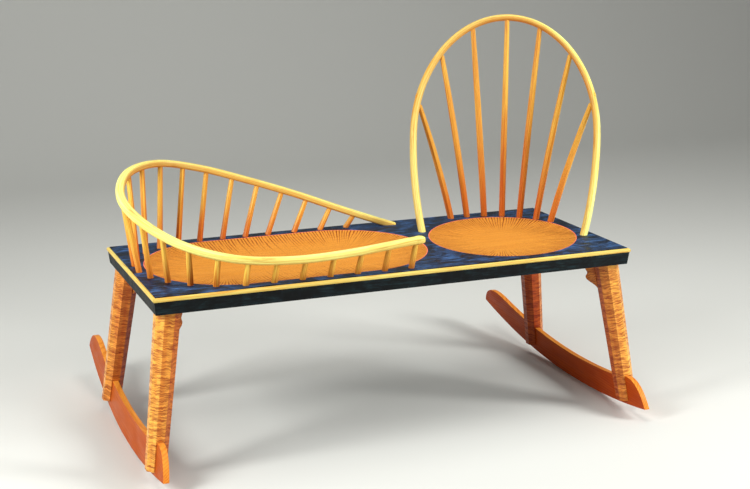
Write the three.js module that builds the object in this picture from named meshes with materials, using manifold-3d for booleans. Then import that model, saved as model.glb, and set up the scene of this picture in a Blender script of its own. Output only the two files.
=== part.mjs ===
// A rocking bench for two: a bow-back seat turned towards a railed cradle, side by side on one plank.
// The plank stands on four splayed legs whose forked feet straddle two rockers.
// Millimetres. +Z is up, +X runs along the bench to the seat end, +Y to the rear.
// The origin is on the floor, under the middle of the bench's overall box.
import * as THREE from "three";
import { mergeVertices } from "three/addons/utils/BufferGeometryUtils.js";
import Module from "manifold-3d";

const wasm = await Module();
wasm.setup();

// Fits and cutting
const GAP = 0.3; // between pieces that touch
const OVERRUN = 8; // how far a cutter runs past the face that it cuts
const WELD = 0.001; // vertices nearer than this are one

// Plank
const SEAT_HEIGHT = 447; // floor to the plank's top face
const PLANK_LENGTH = 1260; // over the edge strips
const PLANK_DEPTH = 538; // over the edge strips
const PLANK_THICKNESS = 44;
const PLANK_UNDERCUT = 3.5; // how far the sides slope in at the bottom

// Edge strips, let into a rebate round the plank just under its top edge
const STRIP_WIDTH = 6.5;
const STRIP_HEIGHT = 10;
const STRIP_DROP = 2; // the plank's painted edge stands this far above the strips
const STRIP_PROUD = 2.5; // stands past the plank's side
const STRIP_FLAT = 2; // flat run beside the plank's core
const STRIP_UNDER_ROUND = 2; // radius under the bead
const STRIP_ROUND_STEPS = 5;

// Seat bowl, an oval dished into the plank and turned with the seat
const SEAT_END_INSET = 234; // the seat's centre from the plank's seat end
const SEAT_SETBACK = 7; // the same behind the plank's middle line
const SEAT_TURN = THREE.MathUtils.degToRad(27.4); // the seat faces this far towards the cradle
const SEAT_BOWL_WIDTH = 388;
const SEAT_BOWL_LENGTH = 444;
const SEAT_BOWL_FORWARD = 13; // the bowl's centre lies this far before the seat's centre
const SEAT_BOWL_DEPTH = 13;

// Cradle bowl, a long dish inside the line of the cradle spindles
const CRADLE_BOWL_DEPTH = 15;
const CRADLE_BOWL_INSET = 10; // from the spindles' foot line to the rim, front and rear
const CRADLE_BOWL_END_INSET = 22; // the same at the round left end
const CRADLE_BOWL_CLEARANCE = 473; // from the seat's centre to the centre of the bowl's round right end
const BOWL_STEPS = 40; // sides of each bowl's rim
const BOWL_ROUND = 3; // the dish is level in the middle and turns up near the rim
const BOWL_RING_SHARES = [1, 0.95, 0.87, 0.75, 0.58, 0.3];

// Foot line of the cradle spindles: straight at the rear, a half oval at the left end, straight in front
const FOOT_LINE_FRONT_INSET = 29; // from the plank's front edge
const FOOT_LINE_REAR_INSET = 35;
const FOOT_LINE_END_INSET = 21; // from the plank's cradle end to the half oval
const FOOT_LINE_END_REACH = 230; // half oval's reach to the left of its centre
const FOOT_LINE_REAR_CLEARANCE = 252; // from the seat's centre along the bench to the line's rear end
const FOOT_LINE_FRONT_CLEARANCE = 338;

// Cradle rail
const RAIL_WIDTH = 22;
const RAIL_THICKNESS = 18;
const RAIL_EDGE_ROUND = 5;
const RAIL_EDGE_STEPS = 2;
const RAIL_STEPS = 54;
const RAIL_RISE = 216; // plank's top face to the rail's centre at its highest
const RAIL_LEAN = 32; // how far the rail stands outside its foot line, at most
// Share along the foot line, share of the lean, share of the rise
const RAIL_SHARES = [
  [-0.013, -0.41, -0.02],
  [0.067, 0.09, 0.212],
  [0.152, 0.525, 0.474],
  [0.236, 0.84, 0.707],
  [0.306, 1, 0.88],
  [0.37, 0.95, 1],
  [0.438, 0.9, 0.985],
  [0.508, 0.84, 0.829],
  [0.579, 0.68, 0.65],
  [0.646, 0.54, 0.456],
  [0.714, 0.44, 0.317],
  [0.798, 0.41, 0.245],
  [0.883, 0.375, 0.26],
  [0.967, 0.31, 0.317],
  [0.993, 0.245, 0.33],
];
const KNOB_PROUD = 4; // the round knob at the rail's free end stands this far past the rail's sides
const KNOB_END_REACH = 9; // from the end of the rail's curve to the knob's tip
const KNOB_BACK_STEPS = 3; // rings from the rail to the knob's middle
const KNOB_STEPS = 5; // rings from there to the tip
const RAIL_DOWEL_RADIUS = 4;
const RAIL_DOWEL_IN_PLANK = 15;
const RAIL_DOWEL_IN_RAIL = 7;
const RAIL_DOWEL_SHARE = 0.016; // where the dowel stands along the rail
const DOWEL_SIDES = 12;

// Cradle spindles, eight-sided and tapered upwards
const CRADLE_SPINDLE_FOOT = 14.5; // across flats
const CRADLE_SPINDLE_TOP = 12.5;
const CRADLE_FOOT_SHARES = [0.07, 0.2025, 0.687, 0.979]; // along the foot line, where the spacing changes
const CRADLE_FOOT_COUNTS = [3, 13, 7]; // spindle spaces in each stretch
const CRADLE_TOP_SHARES = [0.0657, 0.3023, 0.451, 0.6, 0.7195, 0.9925]; // the same along the rail
const CRADLE_TOP_COUNTS = [6, 4, 3, 3, 7];

// Spindle ends
const SPINDLE_SIDES = 8;
const TENON_WIDTH = 9; // across flats
const FOOT_TENON_DEPTH = 18;
const SPINDLE_SINK = 1.5; // how far a spindle's full body enters what it joins
const RAIL_TENON_PAST_CENTRE = 2;

// Back hoop, a round bow bent in one plane that leans back
const HOOP_FOOT_RADIUS = 10.2; // half the bow's thickness at its feet
const HOOP_CROWN_RADIUS = 9;
const HOOP_FOOT_HALF_WIDTH = 218.5;
const HOOP_HALF_WIDTH = 251.5;
const HOOP_WIDEST_RISE = 282; // along the lean, from the plank to the widest place
const HOOP_RISE = 616; // along the lean, from the plank to the crown's centre
const HOOP_LEAN = THREE.MathUtils.degToRad(25);
const HOOP_SIDE_STEPS = 7;
const HOOP_CROWN_STEPS = 13;
const HOOP_STEPS = 54;
const HOOP_SIDES = 16;
const HOOP_WEDGE_WIDTH = 14;
const HOOP_WEDGE_LENGTH = 26;
const HOOP_WEDGE_THICK = 4;
const HOOP_WEDGE_TIP = 1.4;

// Back spindles, sprung inwards between an arc of feet and the bow
const BACK_SPINDLE_FOOT = 16.5; // across flats
const BACK_SPINDLE_TOP = 12.5;
const BACK_SPINDLE_SWELL = 2; // added to the width at mid-height
const BACK_SPINDLE_SPRING = 4.8; // the outer two bow inwards this far, the others less
const BACK_SPINDLE_STEPS = 5;
const BACK_FOOT_RADIUS = 219;
const BACK_FOOT_ASIDE = -19; // the arc's centre from the seat's centre, across the seat
const BACK_FOOT_SETBACK = -8; // the same towards the back
const BACK_FOOT_TURN = THREE.MathUtils.degToRad(3.8);
const BACK_FOOT_STEP = THREE.MathUtils.degToRad(13.3);
const BACK_TOP_SHARES = [0.251, 0.355, 0.433, 0.5, 0.564, 0.641, 0.742]; // along the bent hoop
const BACK_TENON_PROUD = 0.8; // the outer two tenons are trimmed this far outside the hoop's skin
const BACK_TENON_TRIM = 14; // their run past the skin before they are trimmed
const BACK_TENON_SHORT = 2.5; // the others stop this far inside its outer face
const TRIMMER_WIDTH = 70;

// Legs, eight-sided, splayed and tapered downwards
const LEG_END_INSET = 44; // leg's centre at the plank's underside, from the plank's end
const LEG_EDGE_INSET = 51; // the same from its long edge
const LEG_SPLAY_X = 53; // how far the leg leans out on its way to the foot
const LEG_SPLAY_Y = 42;
const LEG_TOP_WIDTH = 60; // across flats
const LEG_FOOT_WIDTH = 48;
const LEG_FOOT_HEIGHT = 30; // the fork's ends stop this far above the floor
const LEG_TENON_RADIUS = 13;
const LEG_TENON_DEPTH = 30;
const LEG_SIDES = 8;
const LEG_TENON_SIDES = 16;

// Knee brackets, one in the inner corner of each leg, under the plank
const BRACKET_REACH = 52; // from the leg's centre
const BRACKET_DROP = 73;
const BRACKET_THICKNESS = 18;
const BRACKET_CURVE_STEPS = 6;
// Curved edge from the leg up to the lip, each curve by its control and its end: reach share, drop share
const BRACKET_FOOT_SHARE = 0.3;
const BRACKET_CURVE_SHARES = [
  [0.44, 0.88, 0.66, 0.81],
  [1.08, 0.66, 0.92, 0.53],
  [0.84, 0.44, 0.95, 0.37],
  [0.99, 0.34, 1, 0.28],
];

// Rockers
const ROCKER_THICKNESS = 15;
const ROCKER_REAR_RADIUS = 1800; // of the curve on the floor, behind the level stretch
const ROCKER_FRONT_RADIUS = 2150;
const ROCKER_TOP_RADIUS = 1850;
const ROCKER_DEPTH = 73; // at the lowest place
const ROCKER_FLAT = 76; // level stretch under the balance point
const ROCKER_TAIL_REACH = 306; // rear legs' feet to the rear tip
const ROCKER_HORN_REACH = 106; // front legs' feet to the front toe
const ROCKER_TAIL_LENGTH = 116; // the tail's curve, from the top edge down to the tip
const ROCKER_TAIL_SHARES = [0.88, 1.43]; // where that curve turns: along the tail, up the rocker's end
const ROCKER_HORN_RISE = 101; // top of the front horn above the floor
const ROCKER_HORN_LENGTH = 76; // the horn's curve, from its top to the toe
const ROCKER_HORN_BACK = 45; // the horn's curve behind its top
const ROCKER_HORN_SHARES = [0.25, 0.67]; // where those curves turn: behind the top, in front of it
const ROCKER_REAR_STEPS = 20;
const ROCKER_FRONT_STEPS = 10;
const ROCKER_CURVE_STEPS = 8;

const UP = new THREE.Vector3(0, 0, 1);
const UNDERSIDE = SEAT_HEIGHT - PLANK_THICKNESS;
const PLANK_HALF_LENGTH = PLANK_LENGTH / 2;
const PLANK_HALF_DEPTH = PLANK_DEPTH / 2;
const SEAT_X = PLANK_HALF_LENGTH - SEAT_END_INSET;

const vector = (x, y, z) => new THREE.Vector3(x, y, z);

// Geometry to solids and back

function solidFrom(geometry) {
  const bare = geometry.clone();
  bare.deleteAttribute("normal");
  bare.deleteAttribute("uv");
  const merged = mergeVertices(bare, WELD);
  const vertProperties = new Float32Array(merged.attributes.position.array);
  const triVerts = new Uint32Array(merged.index.array);
  return new wasm.Manifold(new wasm.Mesh({ numProp: 3, vertProperties, triVerts }));
}

function geometryFrom(solid) {
  const mesh = solid.getMesh();
  const geometry = new THREE.BufferGeometry();
  geometry.setAttribute("position", new THREE.BufferAttribute(mesh.vertProperties, 3));
  geometry.setIndex(new THREE.BufferAttribute(mesh.triVerts, 1));
  geometry.computeVertexNormals();
  return geometry;
}

function cut(geometry, cutters) {
  let solid = solidFrom(geometry);
  for (const cutter of cutters) solid = solid.subtract(solidFrom(cutter));
  return geometryFrom(solid);
}

function join(geometries) {
  let solid = solidFrom(geometries[0]);
  for (const other of geometries.slice(1)) solid = solid.add(solidFrom(other));
  return geometryFrom(solid);
}

// Six times the signed volume, and the volume's moment in Y
function volumeMoments(geometry) {
  const flat = geometry.index ? geometry.toNonIndexed() : geometry;
  const position = flat.attributes.position;
  const corner = [vector(), vector(), vector()];
  let volume = 0;
  let momentY = 0;
  for (let i = 0; i < position.count; i += 3) {
    corner.forEach((point, k) => point.fromBufferAttribute(position, i + k));
    const part = corner[0].dot(vector().crossVectors(corner[1], corner[2]));
    volume += part;
    momentY += (part * (corner[0].y + corner[1].y + corner[2].y)) / 4;
  }
  return { volume, momentY };
}

// A closed skin over a row of rings with as many points each, capped at both ends
function loft(rings) {
  const count = rings[0].length;
  const points = rings.flat();
  const index = [];
  for (let ring = 0; ring + 1 < rings.length; ring++) {
    for (let side = 0; side < count; side++) {
      const a = ring * count + side;
      const b = ring * count + ((side + 1) % count);
      index.push(a, b, b + count, a, b + count, a + count);
    }
  }
  const last = points.length - count;
  for (let side = 1; side + 1 < count; side++) {
    index.push(0, side + 1, side);
    index.push(last, last + side, last + side + 1);
  }
  const geometry = new THREE.BufferGeometry().setFromPoints(points);
  geometry.setIndex(index);
  if (volumeMoments(geometry).volume < 0) {
    for (let i = 0; i < index.length; i += 3) [index[i + 1], index[i + 2]] = [index[i + 2], index[i + 1]];
    geometry.setIndex(index);
  }
  geometry.computeVertexNormals();
  return geometry;
}

// Regular polygon ring about a centre, square to an axis, with its sides paired about the given direction
function polygonRing(centre, axis, acrossFlats, sides, aside = vector(1, 0, 0)) {
  const across = aside.clone().addScaledVector(axis, -aside.dot(axis)).normalize();
  const along = vector().crossVectors(axis, across);
  const radius = acrossFlats / 2 / Math.cos(Math.PI / sides);
  return Array.from({ length: sides }, (_, i) => {
    const angle = ((i + 0.5) / sides) * 2 * Math.PI;
    return centre
      .clone()
      .addScaledVector(across, radius * Math.cos(angle))
      .addScaledVector(along, radius * Math.sin(angle));
  });
}

// Rectangle ring in a level plane, as half sizes about the plank's centre
const rectangleRing = (halfX, halfY, z) => [
  vector(-halfX, -halfY, z),
  vector(halfX, -halfY, z),
  vector(halfX, halfY, z),
  vector(-halfX, halfY, z),
];

// Box with its lowest and highest corners given
function boxBetween(low, high) {
  const size = vector().subVectors(high, low);
  const centre = vector().addVectors(low, high).multiplyScalar(0.5);
  return new THREE.BoxGeometry(size.x, size.y, size.z).translate(centre.x, centre.y, centre.z);
}

// Point at an offset from a frame's origin along its three unit directions
function inFrame(frame, a, b, c) {
  return frame.origin
    .clone()
    .addScaledVector(frame.across, a)
    .addScaledVector(frame.back, b)
    .addScaledVector(UP, c);
}

// Seat frame: across runs from the sitter's right to left foot of the hoop, back points behind the sitter
const seatFrame = {
  origin: vector(SEAT_X, SEAT_SETBACK, SEAT_HEIGHT),
  across: vector(Math.cos(SEAT_TURN), -Math.sin(SEAT_TURN), 0),
  back: vector(Math.sin(SEAT_TURN), Math.cos(SEAT_TURN), 0),
};

// Foot line of the cradle, from the rear end round the left end to the front

const footLineHalfDepth = PLANK_HALF_DEPTH - (FOOT_LINE_FRONT_INSET + FOOT_LINE_REAR_INSET) / 2;
const footLineY = (FOOT_LINE_FRONT_INSET - FOOT_LINE_REAR_INSET) / 2;
const footLineEndX = FOOT_LINE_END_INSET + FOOT_LINE_END_REACH - PLANK_HALF_LENGTH;
const footLineRearRun = SEAT_X - FOOT_LINE_REAR_CLEARANCE - footLineEndX;
const footLineFrontRun = SEAT_X - FOOT_LINE_FRONT_CLEARANCE - footLineEndX;
const footLineEndRun = (Math.PI * (FOOT_LINE_END_REACH + footLineHalfDepth)) / 2;
const footLineLength = footLineRearRun + footLineEndRun + footLineFrontRun;

// Point of the foot line and the level direction out of the cradle there
function footLineAt(share) {
  const run = share * footLineLength;
  const pastRear = run - footLineRearRun;
  if (pastRear < 0) {
    const x = footLineEndX - pastRear;
    return { point: vector(x, footLineY + footLineHalfDepth, SEAT_HEIGHT), out: vector(0, 1, 0) };
  }
  if (pastRear < footLineEndRun) {
    const angle = Math.PI / 2 + (pastRear / footLineEndRun) * Math.PI;
    const x = footLineEndX + FOOT_LINE_END_REACH * Math.cos(angle);
    const y = footLineY + footLineHalfDepth * Math.sin(angle);
    return { point: vector(x, y, SEAT_HEIGHT), out: vector(Math.cos(angle), Math.sin(angle), 0) };
  }
  const x = footLineEndX + pastRear - footLineEndRun;
  return { point: vector(x, footLineY - footLineHalfDepth, SEAT_HEIGHT), out: vector(0, -1, 0) };
}

// Shares at even spaces inside each stretch between the given shares
function evenShares(ends, counts) {
  const shares = [ends[0]];
  counts.forEach((count, stretch) => {
    const step = (ends[stretch + 1] - ends[stretch]) / count;
    for (let i = 1; i <= count; i++) shares.push(ends[stretch] + step * i);
  });
  return shares;
}

// Cradle rail

const railCurve = new THREE.CatmullRomCurve3(
  RAIL_SHARES.map(([share, lean, rise]) => {
    const { point, out } = footLineAt(share);
    return point.addScaledVector(out, lean * RAIL_LEAN).addScaledVector(UP, rise * RAIL_RISE);
  }),
  false,
  "centripetal",
);

// Rounded rectangle, as points across and up from the rail's centre
function railSection() {
  const points = [];
  for (const [signX, signY, start] of [[1, 1, 0], [-1, 1, 1], [-1, -1, 2], [1, -1, 3]]) {
    for (let i = 0; i <= RAIL_EDGE_STEPS; i++) {
      const angle = ((start + i / RAIL_EDGE_STEPS) * Math.PI) / 2;
      const x = signX * (RAIL_WIDTH / 2 - RAIL_EDGE_ROUND) + RAIL_EDGE_ROUND * Math.cos(angle);
      const y = signY * (RAIL_THICKNESS / 2 - RAIL_EDGE_ROUND) + RAIL_EDGE_ROUND * Math.sin(angle);
      points.push([x, y]);
    }
  }
  return points;
}

// Even rings to where the knob swells out of the rail, then the knob, round as seen from above
function cradleRail() {
  const section = railSection();
  const ringAt = (centre, tangent, widen, thin) => {
    const top = UP.clone().addScaledVector(tangent, -UP.dot(tangent)).normalize();
    const side = vector().crossVectors(tangent, top);
    return section.map(([x, y]) =>
      centre.clone().addScaledVector(side, x * widen).addScaledVector(top, y * thin),
    );
  };
  const knobRadius = RAIL_WIDTH / 2 + KNOB_PROUD;
  const middleBack = knobRadius - KNOB_END_REACH;
  const swell = Math.acos(RAIL_WIDTH / 2 / knobRadius);
  const bodyShare = 1 - (middleBack + knobRadius * Math.sin(swell)) / railCurve.getLength();
  const rings = [];
  for (let i = 0; i <= RAIL_STEPS; i++) {
    const share = (bodyShare * i) / RAIL_STEPS;
    rings.push(ringAt(railCurve.getPointAt(share), railCurve.getTangentAt(share), 1, 1));
  }
  const end = railCurve.getPointAt(1);
  const tangent = railCurve.getTangentAt(1);
  const knobRing = (angle) => {
    const centre = end.clone().addScaledVector(tangent, knobRadius * Math.sin(angle) - middleBack);
    const thin = angle > 0 ? Math.sqrt(Math.cos(angle)) : 1;
    rings.push(ringAt(centre, tangent, (knobRadius * Math.cos(angle)) / (RAIL_WIDTH / 2), thin));
  };
  for (let i = 1; i <= KNOB_BACK_STEPS; i++) knobRing(swell * (i / KNOB_BACK_STEPS - 1));
  for (let i = 1; i <= KNOB_STEPS; i++) knobRing(((i / (KNOB_STEPS + 0.5)) * Math.PI) / 2);
  return loft(rings);
}

// Spindles

// Axis with the two full-body ends and the two tenon ends along it, and how far it is sprung aside
function spindleAxis(foot, top, sinkTop, tenonTop, spring = vector(0, 0, 0)) {
  const direction = vector().subVectors(top, foot);
  const length = direction.length();
  direction.normalize();
  return {
    foot,
    direction,
    length,
    spring,
    bodyFrom: -SPINDLE_SINK,
    bodyTo: length - sinkTop,
    tenonFrom: -FOOT_TENON_DEPTH,
    tenonTo: length + tenonTop,
  };
}

// Eight-sided tapered body with a tenon at each end; a socket cutter is the same, grown by the gap
function spindle(axis, widths, grow = 0) {
  const at = (along, width) => {
    const share = along / axis.length;
    const centre = axis.foot.clone().addScaledVector(axis.direction, along);
    centre.addScaledVector(axis.spring, 4 * share * (1 - share));
    return polygonRing(centre, axis.direction, width + 2 * grow, SPINDLE_SIDES);
  };
  const from = axis.bodyFrom - grow;
  const to = axis.bodyTo + grow;
  const body = [];
  for (let i = 0; i <= widths.steps; i++) {
    const share = i / widths.steps;
    const width = widths.foot + (widths.top - widths.foot) * share + widths.swell * 4 * share * (1 - share);
    body.push(at(from + (to - from) * share, width));
  }
  return loft([
    at(axis.tenonFrom - grow, TENON_WIDTH),
    at(from, TENON_WIDTH),
    ...body,
    at(to, TENON_WIDTH),
    at(axis.tenonTo + grow, TENON_WIDTH),
  ]);
}

const cradleWidths = { foot: CRADLE_SPINDLE_FOOT, top: CRADLE_SPINDLE_TOP, swell: 0, steps: 1 };
const backWidths = {
  foot: BACK_SPINDLE_FOOT,
  top: BACK_SPINDLE_TOP,
  swell: BACK_SPINDLE_SWELL,
  steps: BACK_SPINDLE_STEPS,
};

const cradleTops = evenShares(CRADLE_TOP_SHARES, CRADLE_TOP_COUNTS);
const cradleAxes = evenShares(CRADLE_FOOT_SHARES, CRADLE_FOOT_COUNTS).map((share, i) => {
  const foot = footLineAt(share).point;
  const top = railCurve.getPointAt(cradleTops[i]);
  const tangent = railCurve.getTangentAt(cradleTops[i]);
  const direction = vector().subVectors(top, foot).normalize();
  const steep = Math.sqrt(1 - direction.dot(tangent) ** 2);
  return spindleAxis(foot, top, RAIL_THICKNESS / 2 / steep - SPINDLE_SINK, RAIL_TENON_PAST_CENTRE);
});

// Back hoop

// Point of the hoop's plane: across the seat, and up along the lean
const hoopPoint = (across, rise) =>
  inFrame(seatFrame, across, rise * Math.sin(HOOP_LEAN), rise * Math.cos(HOOP_LEAN));

// Run of the bow below the plank's top face, along the lean
const hoopBelow = (PLANK_THICKNESS + OVERRUN) / Math.cos(HOOP_LEAN);

// One half of the bow, from the foot to the crown, as [across, rise]
function hoopHalf() {
  const points = [];
  const flare = HOOP_HALF_WIDTH - HOOP_FOOT_HALF_WIDTH;
  points.push([HOOP_FOOT_HALF_WIDTH - (2 * flare * hoopBelow) / HOOP_WIDEST_RISE, -hoopBelow]);
  for (let i = 0; i < HOOP_SIDE_STEPS; i++) {
    const share = i / HOOP_SIDE_STEPS;
    points.push([HOOP_HALF_WIDTH - flare * (1 - share) ** 2, HOOP_WIDEST_RISE * share]);
  }
  for (let i = 0; i < HOOP_CROWN_STEPS; i++) {
    const angle = ((i / HOOP_CROWN_STEPS) * Math.PI) / 2;
    points.push([
      HOOP_HALF_WIDTH * Math.cos(angle),
      HOOP_WIDEST_RISE + (HOOP_RISE - HOOP_WIDEST_RISE) * Math.sin(angle),
    ]);
  }
  return points;
}

const hoopCurve = new THREE.CatmullRomCurve3(
  [
    ...hoopHalf().map(([across, rise]) => hoopPoint(-across, rise)),
    hoopPoint(0, HOOP_RISE),
    ...hoopHalf().reverse().map(([across, rise]) => hoopPoint(across, rise)),
  ],
  false,
  "centripetal",
);

const hoopUp = vector().subVectors(hoopPoint(0, HOOP_RISE), hoopPoint(0, 0));
const hoopNormal = vector().crossVectors(seatFrame.across, hoopUp).normalize();

// The bow is shaved thinner towards its crown
const hoopRadiusAt = (share) =>
  HOOP_CROWN_RADIUS + (HOOP_FOOT_RADIUS - HOOP_CROWN_RADIUS) * Math.abs(2 * share - 1);

// The whole bow, or a cutter grown by a clearance
function hoopTube(grow = 0) {
  const rings = [];
  for (let i = 0; i <= HOOP_STEPS; i++) {
    const share = i / HOOP_STEPS;
    const width = 2 * (hoopRadiusAt(share) + grow);
    const tangent = hoopCurve.getTangentAt(share);
    rings.push(polygonRing(hoopCurve.getPointAt(share), tangent, width, HOOP_SIDES, hoopNormal));
  }
  return loft(rings);
}

// Share of the hoop's whole run that lies below the plank's top face, at each foot
const hoopFootShare = hoopBelow / hoopCurve.getLength();

const backMiddle = (BACK_TOP_SHARES.length - 1) / 2;
const backAxes = BACK_TOP_SHARES.map((share, i) => {
  const angle = BACK_FOOT_TURN + (i - backMiddle) * BACK_FOOT_STEP;
  const aside = BACK_FOOT_ASIDE + BACK_FOOT_RADIUS * Math.sin(angle);
  const foot = inFrame(seatFrame, aside, BACK_FOOT_SETBACK + BACK_FOOT_RADIUS * Math.cos(angle), 0);
  const along = hoopFootShare + share * (1 - 2 * hoopFootShare);
  const top = hoopCurve.getPointAt(along);
  const direction = vector().subVectors(top, foot).normalize();
  const steep = Math.sqrt(1 - direction.dot(hoopCurve.getTangentAt(along)) ** 2);
  const toSkin = hoopRadiusAt(along) / steep;
  const sprung = (BACK_SPINDLE_SPRING * (backMiddle - i)) / backMiddle;
  const spring = seatFrame.across.clone().multiplyScalar(sprung);
  const past = isOuter(i) ? BACK_TENON_TRIM : -BACK_TENON_SHORT;
  return spindleAxis(foot, top, toSkin - SPINDLE_SINK, toSkin + past, spring);
});

function isOuter(i) {
  return i === 0 || i === BACK_TOP_SHARES.length - 1;
}

// The outer spindles' tenons run out through the hoop at a slant and are trimmed along its skin
function backSpindle(axis, i) {
  const whole = spindle(axis, backWidths);
  if (!isOuter(i)) return whole;
  const ring = (along) => {
    const centre = axis.foot.clone().addScaledVector(axis.direction, axis.length + along);
    return polygonRing(centre, axis.direction, TRIMMER_WIDTH, 4);
  };
  const beyond = loft([ring(0), ring(TRIMMER_WIDTH)]);
  return cut(whole, [cut(beyond, [hoopTube(BACK_TENON_PROUD)])]);
}

// Wedge driven up into a foot of the hoop from under the plank
function hoopWedge(side, grow = 0) {
  const foot = hoopCurve.getPointAt(side < 0 ? 0 : 1);
  const inward = hoopCurve.getTangentAt(side < 0 ? 0 : 1).multiplyScalar(-side);
  const thick = seatFrame.across;
  const wide = vector().crossVectors(inward, thick).normalize();
  const start = foot.clone().addScaledVector(inward, (UNDERSIDE - foot.z) / inward.z);
  const ring = (along, thickness) => {
    const centre = start.clone().addScaledVector(inward, along);
    return [[-1, -1], [1, -1], [1, 1], [-1, 1]].map(([a, b]) =>
      centre
        .clone()
        .addScaledVector(thick, (a * (thickness + 2 * grow)) / 2)
        .addScaledVector(wide, (b * (HOOP_WEDGE_WIDTH + 2 * grow)) / 2),
    );
  };
  return loft([
    ring(-OVERRUN, HOOP_WEDGE_THICK),
    ring(HOOP_WEDGE_LENGTH + grow, HOOP_WEDGE_TIP),
  ]);
}

const belowPlank = boxBetween(
  vector(-PLANK_LENGTH, -PLANK_LENGTH, UNDERSIDE - SEAT_HEIGHT),
  vector(PLANK_LENGTH, PLANK_LENGTH, UNDERSIDE),
);
const plankBlock = boxBetween(
  vector(-PLANK_LENGTH, -PLANK_LENGTH, UNDERSIDE),
  vector(PLANK_LENGTH, PLANK_LENGTH, SEAT_HEIGHT + GAP),
);

// Rail's dowel, standing upright under the rear end of the rail
function railDowel(grow = 0) {
  const at = railCurve.getPointAt(RAIL_DOWEL_SHARE);
  const low = SEAT_HEIGHT - RAIL_DOWEL_IN_PLANK - grow;
  const high = SEAT_HEIGHT + RAIL_DOWEL_IN_RAIL + grow;
  const width = 2 * (RAIL_DOWEL_RADIUS + grow);
  return loft([
    polygonRing(vector(at.x, at.y, low), UP, width, DOWEL_SIDES),
    polygonRing(vector(at.x, at.y, high), UP, width, DOWEL_SIDES),
  ]);
}

// Bowls

// Dish cutter: rings drawn in from the rim towards the bowl's spine, and down
function dish(rim, depth) {
  const ring = (share, z) =>
    rim.map(({ point, spine }) => {
      const drawn = spine.clone().lerp(point, share);
      return vector(drawn.x, drawn.y, z);
    });
  return loft([
    ring(1, SEAT_HEIGHT + OVERRUN),
    ...BOWL_RING_SHARES.map((share) => ring(share, SEAT_HEIGHT - depth * (1 - share ** BOWL_ROUND))),
  ]);
}

function seatBowl() {
  const spine = inFrame(seatFrame, 0, -SEAT_BOWL_FORWARD, 0);
  const rim = Array.from({ length: BOWL_STEPS }, (_, i) => {
    const angle = (i / BOWL_STEPS) * 2 * Math.PI;
    const across = (SEAT_BOWL_WIDTH / 2) * Math.cos(angle);
    const back = (SEAT_BOWL_LENGTH / 2) * Math.sin(angle) - SEAT_BOWL_FORWARD;
    return { point: inFrame(seatFrame, across, back, 0), spine };
  });
  return dish(rim, SEAT_BOWL_DEPTH);
}

function cradleBowl() {
  const halfDepth = footLineHalfDepth - CRADLE_BOWL_INSET;
  const endReach = FOOT_LINE_END_REACH - CRADLE_BOWL_END_INSET;
  const rim = Array.from({ length: BOWL_STEPS }, (_, i) => {
    const angle = ((i + 0.5) / BOWL_STEPS) * 2 * Math.PI;
    const right = Math.cos(angle) > 0;
    const spine = vector(right ? SEAT_X - CRADLE_BOWL_CLEARANCE : footLineEndX, footLineY, 0);
    const reach = right ? halfDepth : endReach;
    const point = spine.clone().add(vector(reach * Math.cos(angle), halfDepth * Math.sin(angle), 0));
    return { point, spine };
  });
  return dish(rim, CRADLE_BOWL_DEPTH);
}

// Legs, named by their place: side -1 is the cradle end, 1 the seat end; row -1 is the front, 1 the rear

const legTopX = PLANK_HALF_LENGTH - LEG_END_INSET;
const legTopY = PLANK_HALF_DEPTH - LEG_EDGE_INSET;
const legFootY = legTopY + LEG_SPLAY_Y;

const legAxis = (side, row) => {
  const top = vector(side * legTopX, row * legTopY, UNDERSIDE);
  const foot = vector(side * (legTopX + LEG_SPLAY_X), row * legFootY, LEG_FOOT_HEIGHT);
  return { top, foot, direction: vector().subVectors(top, foot).normalize() };
};

// Eight-sided body between level cuts, carried on along its own line by the given runs
function legBody(side, row, grow, runDown, runUp) {
  const { top, foot } = legAxis(side, row);
  const at = (share, width) => polygonRing(foot.clone().lerp(top, share), UP, width + 2 * grow, LEG_SIDES);
  const height = top.z - foot.z;
  const low = -runDown / height;
  const high = 1 + runUp / height;
  const widthAt = (share) => LEG_FOOT_WIDTH + (LEG_TOP_WIDTH - LEG_FOOT_WIDTH) * share;
  return loft([at(low, widthAt(low)), at(high, widthAt(high))]);
}

function legTenon(side, row, grow) {
  const { top, direction } = legAxis(side, row);
  const width = 2 * (LEG_TENON_RADIUS + grow);
  const at = (along) => {
    const centre = top.clone().addScaledVector(direction, along);
    return polygonRing(centre, direction, width, LEG_TENON_SIDES);
  };
  return loft([at(-OVERRUN), at(LEG_TENON_DEPTH + grow)]);
}

// Rockers

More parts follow.
